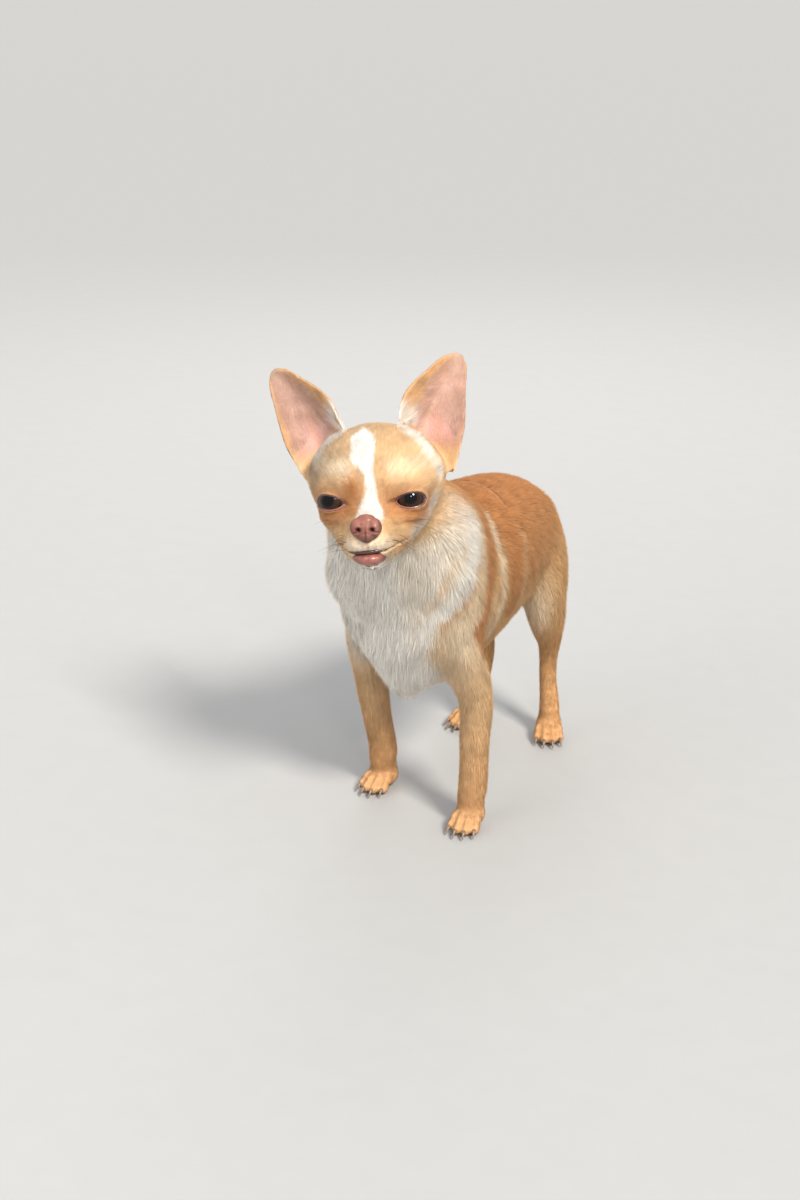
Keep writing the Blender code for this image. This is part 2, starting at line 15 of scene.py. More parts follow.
import bmesh
import bpy
import numpy as np
from mathutils import Matrix, Vector
from mathutils.bvhtree import BVHTree


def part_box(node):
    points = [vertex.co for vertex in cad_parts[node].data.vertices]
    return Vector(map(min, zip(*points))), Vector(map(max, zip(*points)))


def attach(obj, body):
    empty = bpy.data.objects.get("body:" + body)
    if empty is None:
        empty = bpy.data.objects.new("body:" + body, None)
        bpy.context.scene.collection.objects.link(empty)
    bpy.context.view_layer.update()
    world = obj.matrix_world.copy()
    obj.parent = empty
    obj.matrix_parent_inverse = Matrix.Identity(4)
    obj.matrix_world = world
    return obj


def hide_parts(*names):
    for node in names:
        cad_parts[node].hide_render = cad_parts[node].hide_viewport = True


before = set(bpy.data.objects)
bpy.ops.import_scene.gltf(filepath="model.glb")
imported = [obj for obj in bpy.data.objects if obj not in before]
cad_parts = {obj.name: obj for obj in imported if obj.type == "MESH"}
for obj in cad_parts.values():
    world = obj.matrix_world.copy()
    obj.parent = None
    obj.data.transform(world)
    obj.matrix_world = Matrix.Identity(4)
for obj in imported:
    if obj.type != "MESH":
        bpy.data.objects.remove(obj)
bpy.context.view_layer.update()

log = logging.getLogger("chihuahua")

BODY = "root"

# How the head is carried, as in the part's source
EYE_RADIUS = 0.0096
EYE_CENTRE = Vector((0.0212, -0.0232, -0.0095))
HEAD_CENTRE = Vector((-0.0070, -0.1050, 0.2285))
HEAD_TURN = (
    Matrix.Rotation(math.radians(20), 4, "Z")
    @ Matrix.Rotation(math.radians(-12), 4, "X")
    @ Matrix.Rotation(math.radians(-4), 4, "Y")
)
MUZZLE_FRONT = np.array((0.0, -0.0600, -0.0260))

Array = np.ndarray
Point = tuple[float, float, float]
Colour = tuple[float, float, float, float]


def body_shift() -> Vector:
    """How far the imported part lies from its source's own frame, told by the left eye."""
    low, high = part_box("eye_left")
    return (low + high) / 2 - (HEAD_CENTRE + HEAD_TURN.to_3x3() @ EYE_CENTRE)


SHIFT = body_shift()
HEAD = Matrix.Translation(HEAD_CENTRE + SHIFT) @ HEAD_TURN


def smooth_step(values: Array, low: float | Array, high: float | Array) -> Array:
    """A soft step from 0 at low to 1 at high."""
    t = np.clip((np.asarray(values, float) - low) / (high - low), 0.0, 1.0)
    return t * t * (3 - 2 * t)


def unit(vectors: Array) -> Array:
    """The vectors at length one."""
    return vectors / np.maximum(np.linalg.norm(vectors, axis=-1, keepdims=True), 1e-12)


def moved(matrix: Matrix, points: Array) -> Array:
    """The points in the matrix's outer frame."""
    m = np.array(matrix)
    return points @ m[:3, :3].T + m[:3, 3]


def to_head(points: Array) -> Array:
    """World points in the head's own frame."""
    return moved(HEAD.inverted(), points)


def paired(points: Array) -> Array:
    """The points with x taken as positive, for what is alike on both sides."""
    return np.column_stack([np.abs(points[:, 0]), points[:, 1:]])


def between(first: Array | float, second: Array | float, share: Array) -> Array:
    """A number or a vector at each place, between two by a share."""
    share = share[:, None] if np.ndim(first) == 2 else share
    return first * (1 - share) + second * share


def bell(points: Array, centre: Point, radii: Point) -> Array:
    """A soft mound of height 1 round a centre, with its own radius along each axis."""
    return np.exp(-(((points - np.array(centre)) / np.array(radii)) ** 2).sum(-1))


def ripple(points: Array, size: float, seed: int) -> Array:
    """Soft seeded noise from about -1 to 1.

    Args:
        points: Where the noise is read.
        size: The usual distance between two lumps.
        seed: Which noise it is.

    Returns:
        One value a point.
    """
    rng = np.random.default_rng(seed)
    waves = rng.normal(size=(9, 3)) * (2.2 / size)
    phases = rng.uniform(0, 2 * math.pi, 9)
    return np.sin(points @ waves.T + phases).sum(-1) / 4.2


def points_of(mesh: bpy.types.Mesh) -> Array:
    """The mesh's points.

    Args:
        mesh: The mesh.

    Returns:
        One point a row.
    """
    flat = np.empty(len(mesh.vertices) * 3, np.float32)
    mesh.vertices.foreach_get("co", flat)
    return flat.reshape(-1, 3).astype(float)


def normals_of(mesh: bpy.types.Mesh) -> Array:
    """The normals at the mesh's points.

    Args:
        mesh: The mesh.

    Returns:
        One normal a row.
    """
    flat = np.empty(len(mesh.vertices) * 3, np.float32)
    mesh.vertices.foreach_get("normal", flat)
    return flat.reshape(-1, 3).astype(float)


def set_points(mesh: bpy.types.Mesh, points: Array) -> None:
    """Moves the mesh's points."""
    mesh.vertices.foreach_set("co", points.astype(np.float32).ravel())
    mesh.update()


def paint(mesh: bpy.types.Mesh, name: str, values: Array) -> None:
    """Keeps a value or a colour at each point as an attribute.

    Args:
        mesh: The mesh that is painted.
        name: The attribute's name, which a finish reads.
        values: One number a point, or one colour of three numbers a point.
    """
    if values.ndim == 1:
        made = mesh.attributes.new(name, "FLOAT", "POINT")
        made.data.foreach_set("value", values.astype(np.float32))
        return
    made = mesh.attributes.new(name, "FLOAT_COLOR", "POINT")
    full = np.ones((len(values), 4), np.float32)
    full[:, :3] = values
    made.data.foreach_set("color", full.ravel())


def link(name: str, mesh: bpy.types.Mesh) -> bpy.types.Object:
    """Puts a mesh into the scene."""
    made = bpy.data.objects.new(name, mesh)
    bpy.context.scene.collection.objects.link(made)
    return made


def settle(obj: bpy.types.Object) -> bpy.types.Object:
    """Applies the object's modifiers.

    Args:
        obj: The object, whose mesh is replaced.

    Returns:
        The same object.
    """
    graph = bpy.context.evaluated_depsgraph_get()
    mesh = bpy.data.meshes.new_from_object(obj.evaluated_get(graph))
    mesh.name = obj.name
    obj.modifiers.clear()
    obj.data = mesh
    return obj


def modify(obj: bpy.types.Object, kind: str, **settings: object) -> None:
    """Adds a modifier with its settings.

    Args:
        obj: The object.
        kind: The modifier's type.
        settings: What is set on it.
    """
    made = obj.modifiers.new(kind.title(), kind)
    for name, value in settings.items():
        setattr(made, name, value)


def weigh(obj: bpy.types.Object, name: str, weights: Array) -> None:
    """Adds a vertex group that holds one weight a point, in a few levels.

    Args:
        obj: The object.
        name: The group's name.
        weights: One weight a point, from 0 to 1.
    """
    group = obj.vertex_groups.new(name=name)
    levels = np.round(np.clip(weights, 0, 1) * 20).astype(int)
    for level in range(1, 21):
        group.add(np.nonzero(levels == level)[0].tolist(), level / 20, "REPLACE")


def shaped(name: str, build: Callable[[bmesh.types.BMesh], object]) -> bpy.types.Object:
    """Makes a smooth-shaded object from what build adds to a bmesh.

    Args:
        name: The object's name.
        build: What adds the shape to an empty bmesh.

    Returns:
        The object.
    """
    bm = bmesh.new()
    build(bm)
    bmesh.ops.recalc_face_normals(bm, faces=bm.faces)
    mesh = bpy.data.meshes.new(name)
    bm.to_mesh(mesh)
    bm.free()
    mesh.shade_smooth()
    return link(name, mesh)


def add_ball(bm: bmesh.types.BMesh, matrix: Matrix, radii: Point, segments: int = 32) -> None:
    """Adds an ellipsoid of the radii in the frame of matrix."""
    full = matrix @ Matrix.Diagonal((*radii, 1.0))
    bmesh.ops.create_uvsphere(bm, u_segments=segments, v_segments=segments // 2, radius=1.0, matrix=full)


def edges_of(verts: Iterable[bmesh.types.BMVert]) -> list[bmesh.types.BMEdge]:
    """The edges that meet at the verts."""
    return list({edge for vert in verts for edge in vert.link_edges})


def add_tube(bm: bmesh.types.BMesh, places: list[Vector], radii: list[float], sides: int = 8) -> None:
    """Adds a closed tube along places, with a radius at each.

    Args:
        bm: What it is added to.
        places: The middle of each ring.
        radii: The radius of each ring.
        sides: How many sides it has.
    """
    rings = []
    for index, (place, radius) in enumerate(zip(places, radii)):
        ahead = places[min(index + 1, len(places) - 1)] - places[max(index - 1, 0)]
        turn = ahead.to_track_quat("Z", "Y").to_matrix().to_4x4()
        matrix = Matrix.Translation(place) @ turn
        ring = bmesh.ops.create_circle(bm, cap_ends=False, segments=sides, radius=radius, matrix=matrix)
        rings.append(edges_of(ring["verts"]))
    join_rings(bm, rings)


def join_rings(bm: bmesh.types.BMesh, rings: list[list[bmesh.types.BMEdge]], capped: bool = True) -> None:
    """Bridges rings of edges into a tube, and closes its ends.

    Args:
        bm: What holds the rings.
        rings: The edges of each ring, in turn.
        capped: Whether the ends are closed.
    """
    for near, far in zip(rings, rings[1:]):
        bmesh.ops.bridge_loops(bm, edges=near + far)
    if capped:
        bmesh.ops.contextual_create(bm, geom=rings[0])
        bmesh.ops.contextual_create(bm, geom=rings[-1])


def pour(source: bmesh.types.BMesh, target: bmesh.types.BMesh) -> None:
    """Adds one bmesh to another and frees it.

    Args:
        source: What is added.
        target: What it is added to.
    """
    mesh = bpy.data.meshes.new("part")
    source.to_mesh(mesh)
    source.free()
    target.from_mesh(mesh)
    bpy.data.meshes.remove(mesh)


@dataclass(frozen=True)
class Value:
    """A number in a finish. Maths on it adds Math nodes."""

    graph: "Graph"
    socket: object

    def _with(self, operation: str, *others: object) -> "Value":
        """The result of one Math node on this value and others."""
        return self.graph.maths(operation, self, *others)

    def __add__(self, other: object) -> "Value":
        """Adds."""
        return self._with("ADD", other)

    __radd__ = __add__

    def __mul__(self, other: object) -> "Value":
        """Multiplies."""
        return self._with("MULTIPLY", other)

    __rmul__ = __mul__

    def __sub__(self, other: object) -> "Value":
        """Subtracts."""
        return self._with("SUBTRACT", other)

    def __rsub__(self, other: object) -> "Value":
        """Subtracts this from a number."""
        return self.graph.maths("SUBTRACT", other, self)

    def step(self, low: float, high: float) -> "Value":
        """A soft step from 0 at low to 1 at high.

        Args:
            low: Where it is 0.
            high: Where it is 1.

        Returns:
            The step.
        """
        settings = {"interpolation_type": "SMOOTHSTEP"}
        node = self.graph.add("ShaderNodeMapRange", settings, {0: self, 1: low, 2: high, 3: 0.0, 4: 1.0})
        return Value(self.graph, node.outputs[0])


class Graph:
    """The nodes of one finish."""

    def __init__(self, name: str) -> None:
        """Starts a material that holds a Principled shader alone."""
        self.material = bpy.data.materials.new(name)
        self.material.use_nodes = True
        self.tree = self.material.node_tree
        self.shader = self.tree.nodes["Principled BSDF"]

    def add(self, kind: str, settings: dict[str, object], inputs: dict[object, object]) -> bpy.types.Node:
        """Adds a node.

        Args:
            kind: The node's type.
            settings: What is set on the node itself, first.
            inputs: A number, colour, Value or socket for each input's name or index.

        Returns:
            The node.
        """
        node = self.tree.nodes.new(kind)
        for name, value in settings.items():
            setattr(node, name, value)
        for key, value in inputs.items():
            self.feed(node.inputs[key], value)
        return node

    def feed(self, target: bpy.types.NodeSocket, value: object) -> None:
        """Links a Value or socket to an input, or sets a plain value on it.

        Args:
            target: The input.
            value: What it takes.
        """
        if isinstance(value, Value):
            value = value.socket
        if isinstance(value, bpy.types.NodeSocket):
            self.tree.links.new(value, target)
        else:
            target.default_value = value

    def maths(self, operation: str, *values: object) -> Value:
        """One Math node."""
        node = self.add("ShaderNodeMath", {"operation": operation}, dict(enumerate(values)))
        return Value(self, node.outputs[0])

    def number(self, name: str) -> Value:
        """A number that the mesh keeps at its points."""
        node = self.add("ShaderNodeAttribute", {"attribute_name": name}, {})
        return Value(self, node.outputs["Fac"])

    def colour(self, name: str) -> bpy.types.NodeSocket:
        """A colour that the mesh keeps at its points."""
        return self.add("ShaderNodeAttribute", {"attribute_name": name}, {}).outputs["Color"]

    def place(self) -> bpy.types.NodeSocket:
        """The point in the object's own frame."""
        return self.add("ShaderNodeTexCoord", {}, {}).outputs["Object"]

    def noise(self, size: float, detail: float = 2.0, stretch: Point = (1.0, 1.0, 1.0)) -> Value:
        """Noise whose lumps have a size in metres, made longer along an axis by stretch.

        Args:
            size: The lumps' size in metres.
            detail: How many finer layers it has.
            stretch: How much longer the lumps are along each axis.

        Returns:
            The noise, from 0 to 1.
        """
        scale = tuple(1.0 / (size * along) for along in stretch)
        vector = self.add("ShaderNodeMapping", {}, {"Vector": self.place(), "Scale": scale}).outputs[0]
        node = self.add("ShaderNodeTexNoise", {}, {"Vector": vector, "Scale": 1.0, "Detail": detail})
        return Value(self, node.outputs[0])

    def mixed(
        self, factor: object, first: object, second: object, blend: str = "MIX"
    ) -> bpy.types.NodeSocket:
        """A colour between two."""
        settings = {"data_type": "RGBA", "blend_type": blend}
        return self.add("ShaderNodeMix", settings, {0: factor, 6: first, 7: second}).outputs[2]

    def shaded(self, colour: object, amount: Value) -> bpy.types.NodeSocket:
        """A colour made darker or lighter by a number."""
        grey = self.add("ShaderNodeCombineColor", {}, {0: amount, 1: amount, 2: amount}).outputs[0]
        return self.mixed(1.0, colour, grey, "MULTIPLY")

    def bump(self, height: Value, depth: float) -> None:
        """Feeds the shader's normal from a height."""
        node = self.add("ShaderNodeBump", {}, {"Height": height, "Distance": depth, "Strength": 1.0})
        self.feed(self.shader.inputs["Normal"], node.outputs[0])

    def set(self, **inputs: object) -> "Graph":
        """Sets or links the shader's inputs, named with _ for a space.

        Args:
            inputs: What each input takes.

        Returns:
            This graph.
        """
        for name, value in inputs.items():
            self.feed(self.shader.inputs[name.replace("_", " ")], value)
        return self


# Colours of the coat and skin, linear
WHITE = (0.84, 0.79, 0.71)
PALE = (0.80, 0.66, 0.48)
CREAM = (0.70, 0.49, 0.29)
TAN = (0.61, 0.345, 0.150)
RUST = (0.46, 0.190, 0.066)
DEEP_RUST = (0.25, 0.088, 0.030)
ORANGE = (0.58, 0.295, 0.125)
ASH = (0.37, 0.265, 0.170)
PINK = (0.62, 0.370, 0.310)
DUSKY_PINK = (0.40, 0.205, 0.155)
BRIGHT_PINK = (0.68, 0.370, 0.320)
# Where the lips meet: their dark edge with painted shade of the gap between them
LIP_LINE_AND_SHADE = (0.022, 0.010, 0.008)
# Upper and outer lid rims: their own dark with painted shade
LID_RIM_AND_SHADE = (0.040, 0.016, 0.011)
LID_PINK = (0.270, 0.095, 0.078)
PAD = (0.085, 0.055, 0.045)


class Finish(Enum):
    """The finishes that the pieces take."""

    SKIN = "skin"
    COAT = "coat"
    EYE = "eye"
    NOSE = "nose"
    LIP = "lip"
    CLAW = "claw"
    WHISKER = "whisker"
    FLOOR = "floor"


@dataclass(frozen=True)
class SkinFinish:
    """Skin under and between the hair: the markings, with fine hair in its colour and bump."""

    hair: float = 0.0009
    blotch: float = 0.006
    depth: float = 0.0004
    roughness: float = 0.62
    gloss: float = 0.3

    def make(self) -> Graph:
        """Builds the finish.

        Returns:
            Its nodes.
        """
        g = Graph("skin")
        hair = g.noise(self.hair, 3.0, (1.0, 1.0, 2.4))
        shade = 0.72 + hair * 0.30 + g.noise(self.blotch, 2.0) * 0.10
        g.set(Base_Color=g.shaded(g.colour("markings_and_painted_shade"), shade), Roughness=self.roughness)
        g.set(Specular_IOR_Level=self.gloss)
        g.bump(hair, self.depth)
        return g


@dataclass(frozen=True)
class CoatFinish:
    """Hair: the markings of its root, with painted shade that darkens each tuft at its root, and varied from
    tuft to tuft.
    """

    # How dark the painted shade makes a tuft's root, and how much lighter its tip is
    root: float = 0.85
    root_shade_depth: float = 0.15
    variety: float = 0.20
    grain: float = 0.0006
    roughness: float = 0.66
    gloss: float = 0.14

    def make(self) -> Graph:
        """Builds the finish.

        Returns:
            Its nodes.
        """
        g = Graph("coat")
        # Painted shade: darker at each tuft's root, lighter towards its tip, with random tone from tuft to
        # tuft
        shade = self.root + g.number("along") * self.root_shade_depth + g.number("shade") * self.variety
        shade = shade + g.noise(self.grain, 1.0) * 0.10 - 0.05
        g.set(Base_Color=g.shaded(g.colour("markings_and_painted_shade"), shade), Roughness=self.roughness)
        return g.set(Specular_IOR_Level=self.gloss)


@dataclass(frozen=True)
class EyeFinish:
    """A dark eye: pupil, brown iris with fibres, dark ring, and the wet white at the corners, painted dark
    red-brown as in shade.
    """

    fibre: float = 0.0005
    pupil: float = 0.45
    inner: Colour = (0.020, 0.009, 0.005, 1)
    outer: Colour = (0.042, 0.018, 0.008, 1)
    ring: Colour = (0.010, 0.005, 0.004, 1)
    black: Colour = (0.0015, 0.0010, 0.0010, 1)
    # The white at the corners, painted dark red-brown as in shade
    shaded_white: Colour = (0.075, 0.036, 0.028, 1)
    vein: Colour = (0.095, 0.028, 0.022, 1)

    def make(self) -> Graph:
        """Builds the finish.

        Returns:
            Its nodes.
        """
        g = Graph("eye")
        out, fibres = g.number("out"), g.noise(self.fibre, 3.0)
        iris = g.mixed(out.step(self.pupil - 0.05, 0.95), self.inner, self.outer)
        iris = g.shaded(iris, 0.40 + fibres * 0.55 + g.number("spoke") * 0.35)
        iris = g.mixed(out.step(0.82, 1.00), iris, self.ring)
        iris = g.mixed(1 - out.step(self.pupil - 0.05, self.pupil + 0.05), iris, self.black)
        # The white in its painted shade, with dark veins
        shaded_white = g.mixed(fibres.step(0.45, 0.75), self.shaded_white, self.vein)
        g.set(Base_Color=g.mixed(out.step(1.00, 1.14), iris, shaded_white), Roughness=0.12, Coat_Roughness=0.015)
        g.set(Coat_Weight=0.9, Coat_IOR=1.33, Specular_IOR_Level=0.0)
        return g


@dataclass(frozen=True)
class NoseFinish:
    """Moist rose-brown leather with fine pebbles, and painted shade: darker between the pebbles and towards
    its lower and outer edges, near-black inside the nostrils.
    """

    pebbles_per_metre: float = 1400.0
    relief: float = 0.00025
    dark: Colour = (0.205, 0.066, 0.046, 1)
    light: Colour = (0.270, 0.099, 0.069, 1)
    # Near-black painted shade in the nostrils, their slits and the groove below
    inside: Colour = (0.020, 0.006, 0.005, 1)

    def make(self) -> Graph:
        """Builds the finish.

        Returns:
            Its nodes.
        """
        g = Graph("nose")
        scale = (self.pebbles_per_metre,) * 3
        vector = g.add("ShaderNodeMapping", {}, {"Vector": g.place(), "Scale": scale}).outputs[0]
        cells = g.add("ShaderNodeTexVoronoi", {"feature": "F1"}, {"Vector": vector, "Scale": 1.0})
        pebble = Value(g, cells.outputs["Distance"])
        tone = g.noise(0.004, 2.0)
        colour = g.mixed(tone.step(0.35, 0.7), self.dark, self.light)
        # Painted shade: darker between the pebbles and towards the lower and outer edges, near-black in the
        # nostrils, their slits and the groove below
        colour = g.shaded(colour, 1.12 - pebble * 0.30 - g.number("edge") * 0.5)
        colour = g.mixed(g.number("hollow_shade"), colour, self.inside)
        g.set(Base_Color=colour, Roughness=0.38 + tone * 0.16, Specular_IOR_Level=0.4, Coat_Weight=0.2)
        g.set(Coat_Roughness=0.25)
        g.bump(1 - pebble, self.relief)
        return g


@dataclass(frozen=True)
class LipFinish:
    """Wet lip and lid skin, from the colour that the mesh keeps."""

    crease: float = 0.0007
    relief: float = 0.00022
    roughness: float = 0.26

    def make(self) -> Graph:
        """Builds the finish.

        Returns:
            Its nodes.
        """
        g = Graph("lip")
        crease = g.noise(self.crease, 2.0, (0.5, 1.0, 2.0))
        g.set(Base_Color=g.shaded(g.colour("markings_and_painted_shade"), 0.78 + crease * 0.40), Roughness=self.roughness)
        g.set(Coat_Weight=0.5, Coat_Roughness=0.12, Specular_IOR_Level=0.5)
        g.bump(crease, self.relief)
        return g


@dataclass(frozen=True)
class ClawFinish:
    """Dark horn with fine lengthwise streaks."""

    streak: float = 0.0005
    dark: Colour = (0.120, 0.078, 0.052, 1)
    light: Colour = (0.260, 0.185, 0.130, 1)

    def make(self) -> Graph:
        """Builds the finish.

        Returns:
            Its nodes.
        """
        g = Graph("claw")
        streak = g.noise(self.streak, 2.0, (1.0, 4.0, 1.0))
        g.set(Base_Color=g.mixed(streak.step(0.3, 0.7), self.dark, self.light), Roughness=0.34)
        g.bump(streak, 0.0001)
        return g


@dataclass(frozen=True)
class WhiskerFinish:
    """Stiff whisker hair, dark at the root."""

    root: Colour = (0.020, 0.012, 0.008, 1)
    tip: Colour = (0.160, 0.100, 0.060, 1)

    def make(self) -> Graph:
        """Builds the finish.

        Returns:
            Its nodes.
        """
        g = Graph("whisker")
        return g.set(Base_Color=g.mixed(g.number("along"), self.root, self.tip), Roughness=0.4)


@dataclass(frozen=True)
class FloorFinish:
    """A plain pale studio floor with a trace of grain."""

    grain: float = 0.02
    dark: Colour = (0.36, 0.355, 0.345, 1)
    light: Colour = (0.38, 0.375, 0.365, 1)

    def make(self) -> Graph:
        """Builds the finish.

        Returns:
            Its nodes.
        """
        g = Graph("floor")
        return g.set(Base_Color=g.mixed(g.noise(self.grain, 3.0), self.dark, self.light), Roughness=0.7)


MAKERS = {
    Finish.SKIN: SkinFinish(),
    Finish.COAT: CoatFinish(),
    Finish.EYE: EyeFinish(),
    Finish.NOSE: NoseFinish(),
    Finish.LIP: LipFinish(),
    Finish.CLAW: ClawFinish(),
    Finish.WHISKER: WhiskerFinish(),
    Finish.FLOOR: FloorFinish(),
}


class Dresser:
    """Keeps each finish once, and hands pieces over to the frame."""

    def __init__(self) -> None:
        """Makes every finish."""
        self.finishes = {kind: maker.make().material for kind, maker in MAKERS.items()}

    def dress(self, obj: bpy.types.Object, finish: Finish, slot: str, replaced: Iterable[str] = ()) -> None:
        """Gives a piece its finish and body, and hides the CAD nodes that it stands for.

        Args:
            obj: The finished piece.
            finish: What it looks like.
            slot: The record's material slot; not used.
            replaced: The CAD nodes that it stands for.
        """
        obj.data.materials.clear()
        obj.data.materials.append(self.finishes[finish])
        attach(obj, BODY)
        if replaced:
            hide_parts(*replaced)
        log.info("%s: %d faces", obj.name, len(obj.data.polygons))


@dataclass(frozen=True)
class Flow:
    """The coat round one place: the way it lies, its length, and how far it stands off the skin."""

    centre: Point
    way: Point
    reach: float
    length: float
    depth: float


# The coat of the body, in the source's frame. A flow off the middle line is repeated on the other side.
FLOWS = (
    Flow((0.000, -0.045, 0.212), (0.00, 0.80, -0.45), 0.028, 0.0110, 0.0036),
    Flow((0.000, -0.010, 0.202), (0.00, 1.00, -0.05), 0.035, 0.0095, 0.0026),
    Flow((0.000, 0.040, 0.196), (0.00, 1.00, -0.12), 0.035, 0.0090, 0.0024),
    Flow((0.000, 0.080, 0.182), (0.00, 0.90, -0.50), 0.025, 0.0095, 0.0026),
    Flow((0.000, 0.096, 0.150), (0.00, 0.30, -0.95), 0.022, 0.0095, 0.0028),
    Flow((0.034, -0.005, 0.185), (0.10, 0.90, -0.55), 0.030, 0.0095, 0.0026),
    Flow((0.040, 0.010, 0.140), (0.05, 0.60, -0.80), 0.032, 0.0095, 0.0026),
    Flow((0.036, 0.045, 0.150), (0.00, 0.75, -0.65), 0.030, 0.0095, 0.0026),
    Flow((0.030, 0.000, 0.095), (-0.20, 0.85, -0.45), 0.025, 0.0095, 0.0028),
    Flow((0.000, 0.010, 0.088), (0.00, 1.00, -0.10), 0.025, 0.0085, 0.0026),
    Flow((0.030, 0.068, 0.165), (0.10, 0.70, -0.75), 0.024, 0.0095, 0.0026),
    Flow((0.036, 0.065, 0.125), (0.05, 0.30, -0.95), 0.025, 0.0085, 0.0022),
    Flow((0.026, 0.092, 0.110), (0.00, 0.40, -0.92), 0.018, 0.0110, 0.0030),
    Flow((0.012, 0.065, 0.105), (-0.10, 0.20, -0.97), 0.018, 0.0080, 0.0020),
    Flow((0.024, 0.086, 0.062), (0.00, 0.10, -1.00), 0.022, 0.0060, 0.0013),
    Flow((0.027, 0.083, 0.025), (0.00, -0.10, -1.00), 0.018, 0.0045, 0.0010),
    Flow((0.046, -0.050, 0.150), (0.05, 0.35, -0.93), 0.026, 0.0095, 0.0028),
    Flow((0.042, -0.050, 0.110), (0.00, 0.15, -0.98), 0.022, 0.0080, 0.0022),
    Flow((0.037, -0.040, 0.085), (0.00, 0.45, -0.89), 0.014, 0.0090, 0.0024),
    Flow((0.037, -0.055, 0.060), (0.00, 0.05, -1.00), 0.024, 0.0060, 0.0014),
    Flow((0.037, -0.050, 0.022), (0.00, -0.10, -1.00), 0.020, 0.0045, 0.0010),
    Flow((0.000, -0.104, 0.185), (0.00, -0.15, -1.00), 0.026, 0.0150, 0.0050),
    Flow((0.000, -0.108, 0.150), (0.00, -0.10, -1.00), 0.026, 0.0170, 0.0055),
    Flow((0.000, -0.096, 0.115), (0.00, 0.05, -1.00), 0.022, 0.0170, 0.0052),
    Flow((0.000, -0.060, 0.090), (0.00, 0.80, -0.60), 0.022, 0.0110, 0.0036),
    Flow((0.028, -0.100, 0.165), (0.20, 0.00, -0.98), 0.024, 0.0150, 0.0048),
    Flow((0.026, -0.094, 0.125), (-0.15, 0.05, -0.98), 0.022, 0.0130, 0.0042),
    Flow((0.040, -0.082, 0.190), (0.15, 0.45, -0.88), 0.024, 0.0130, 0.0042),
    Flow((0.034, -0.055, 0.205), (0.10, 0.75, -0.65), 0.024, 0.0110, 0.0036),
    Flow((0.000, 0.108, 0.150), (0.00, 0.70, -0.70), 0.014, 0.0100, 0.0026),
    Flow((0.000, 0.120, 0.128), (0.00, 0.25, -0.97), 0.014, 0.0110, 0.0028),
    Flow((-0.003, 0.122, 0.105), (0.00, 0.10, -1.00), 0.014, 0.0120, 0.0030),
    Flow((-0.004, 0.126, 0.082), (0.00, 0.25, -1.00), 0.012, 0.0110, 0.0026),
)

# Paws: place and turn as in the part's source, and how far its toes reach
PAWS = {
    "forepaw_left": (0.0370, -0.0690, 6.0),
    "forepaw_right": (-0.0375, -0.0430, -4.0),
    "hindpaw_left": (0.0295, 0.0770, 22.0),
    "hindpaw_right": (-0.0285, 0.0730, -16.0),
}
TOES = ((-0.0076, 0.0000, 12), (-0.0027, 0.0038, 4), (0.0027, 0.0038, -4), (0.0076, 0.0000, -12))

# Ears: root in the head's frame, lean and turn as in the part's source
EAR_ROOT = Vector((0.0280, 0.0040, 0.0145))
EAR_LEANS = {1: 24.0, -1: 38.0}
EAR_LENGTHS = {1: 0.0605, -1: 0.0635}
EAR_TURN = 20.0
EAR_BACK = -6.0
EAR_DEPTH = 0.00035  # how far the hair stands off an ear
PAW_DEPTH = 0.0006  # how far the hair stands off a paw
PAW_HAIR = 0.0030  # how long a paw's hair is


def paw_frame(name: str) -> Matrix:
    """The frame of a paw, on the floor under its middle."""
    x, y, turn = PAWS[name]
    return Matrix.Translation(SHIFT + Vector((x, y, 0))) @ Matrix.Rotation(math.radians(turn), 4, "Z")


def ear_frame(side: int) -> Matrix:
    """The frame of an ear: its length runs up +Z, and its cup opens towards -Y.

    Args:
        side: 1 for the dog's left, -1 for its right.

    Returns:
        The frame, in the scene.
    """
    root = Vector((EAR_ROOT.x * side, EAR_ROOT.y, EAR_ROOT.z))
    turn = Matrix.Rotation(math.radians(EAR_TURN) * side, 4, "Z")
    lean = Matrix.Rotation(math.radians(EAR_LEANS[side]) * side, 4, "Y")
    lean = lean @ Matrix.Rotation(math.radians(EAR_BACK), 4, "X")
    return HEAD @ Matrix.Translation(root) @ turn @ lean


def ear_axis(points: Array, axis: Point) -> Array:
    """For each point, an axis of the ear on its side, with x pointing away from the head's middle."""
    left, right = (np.array(ear_frame(s).to_3x3() @ Vector((axis[0] * s, *axis[1:]))) for s in (1, -1))
    return np.where((to_head(points)[:, 0] > 0)[:, None], left, right)


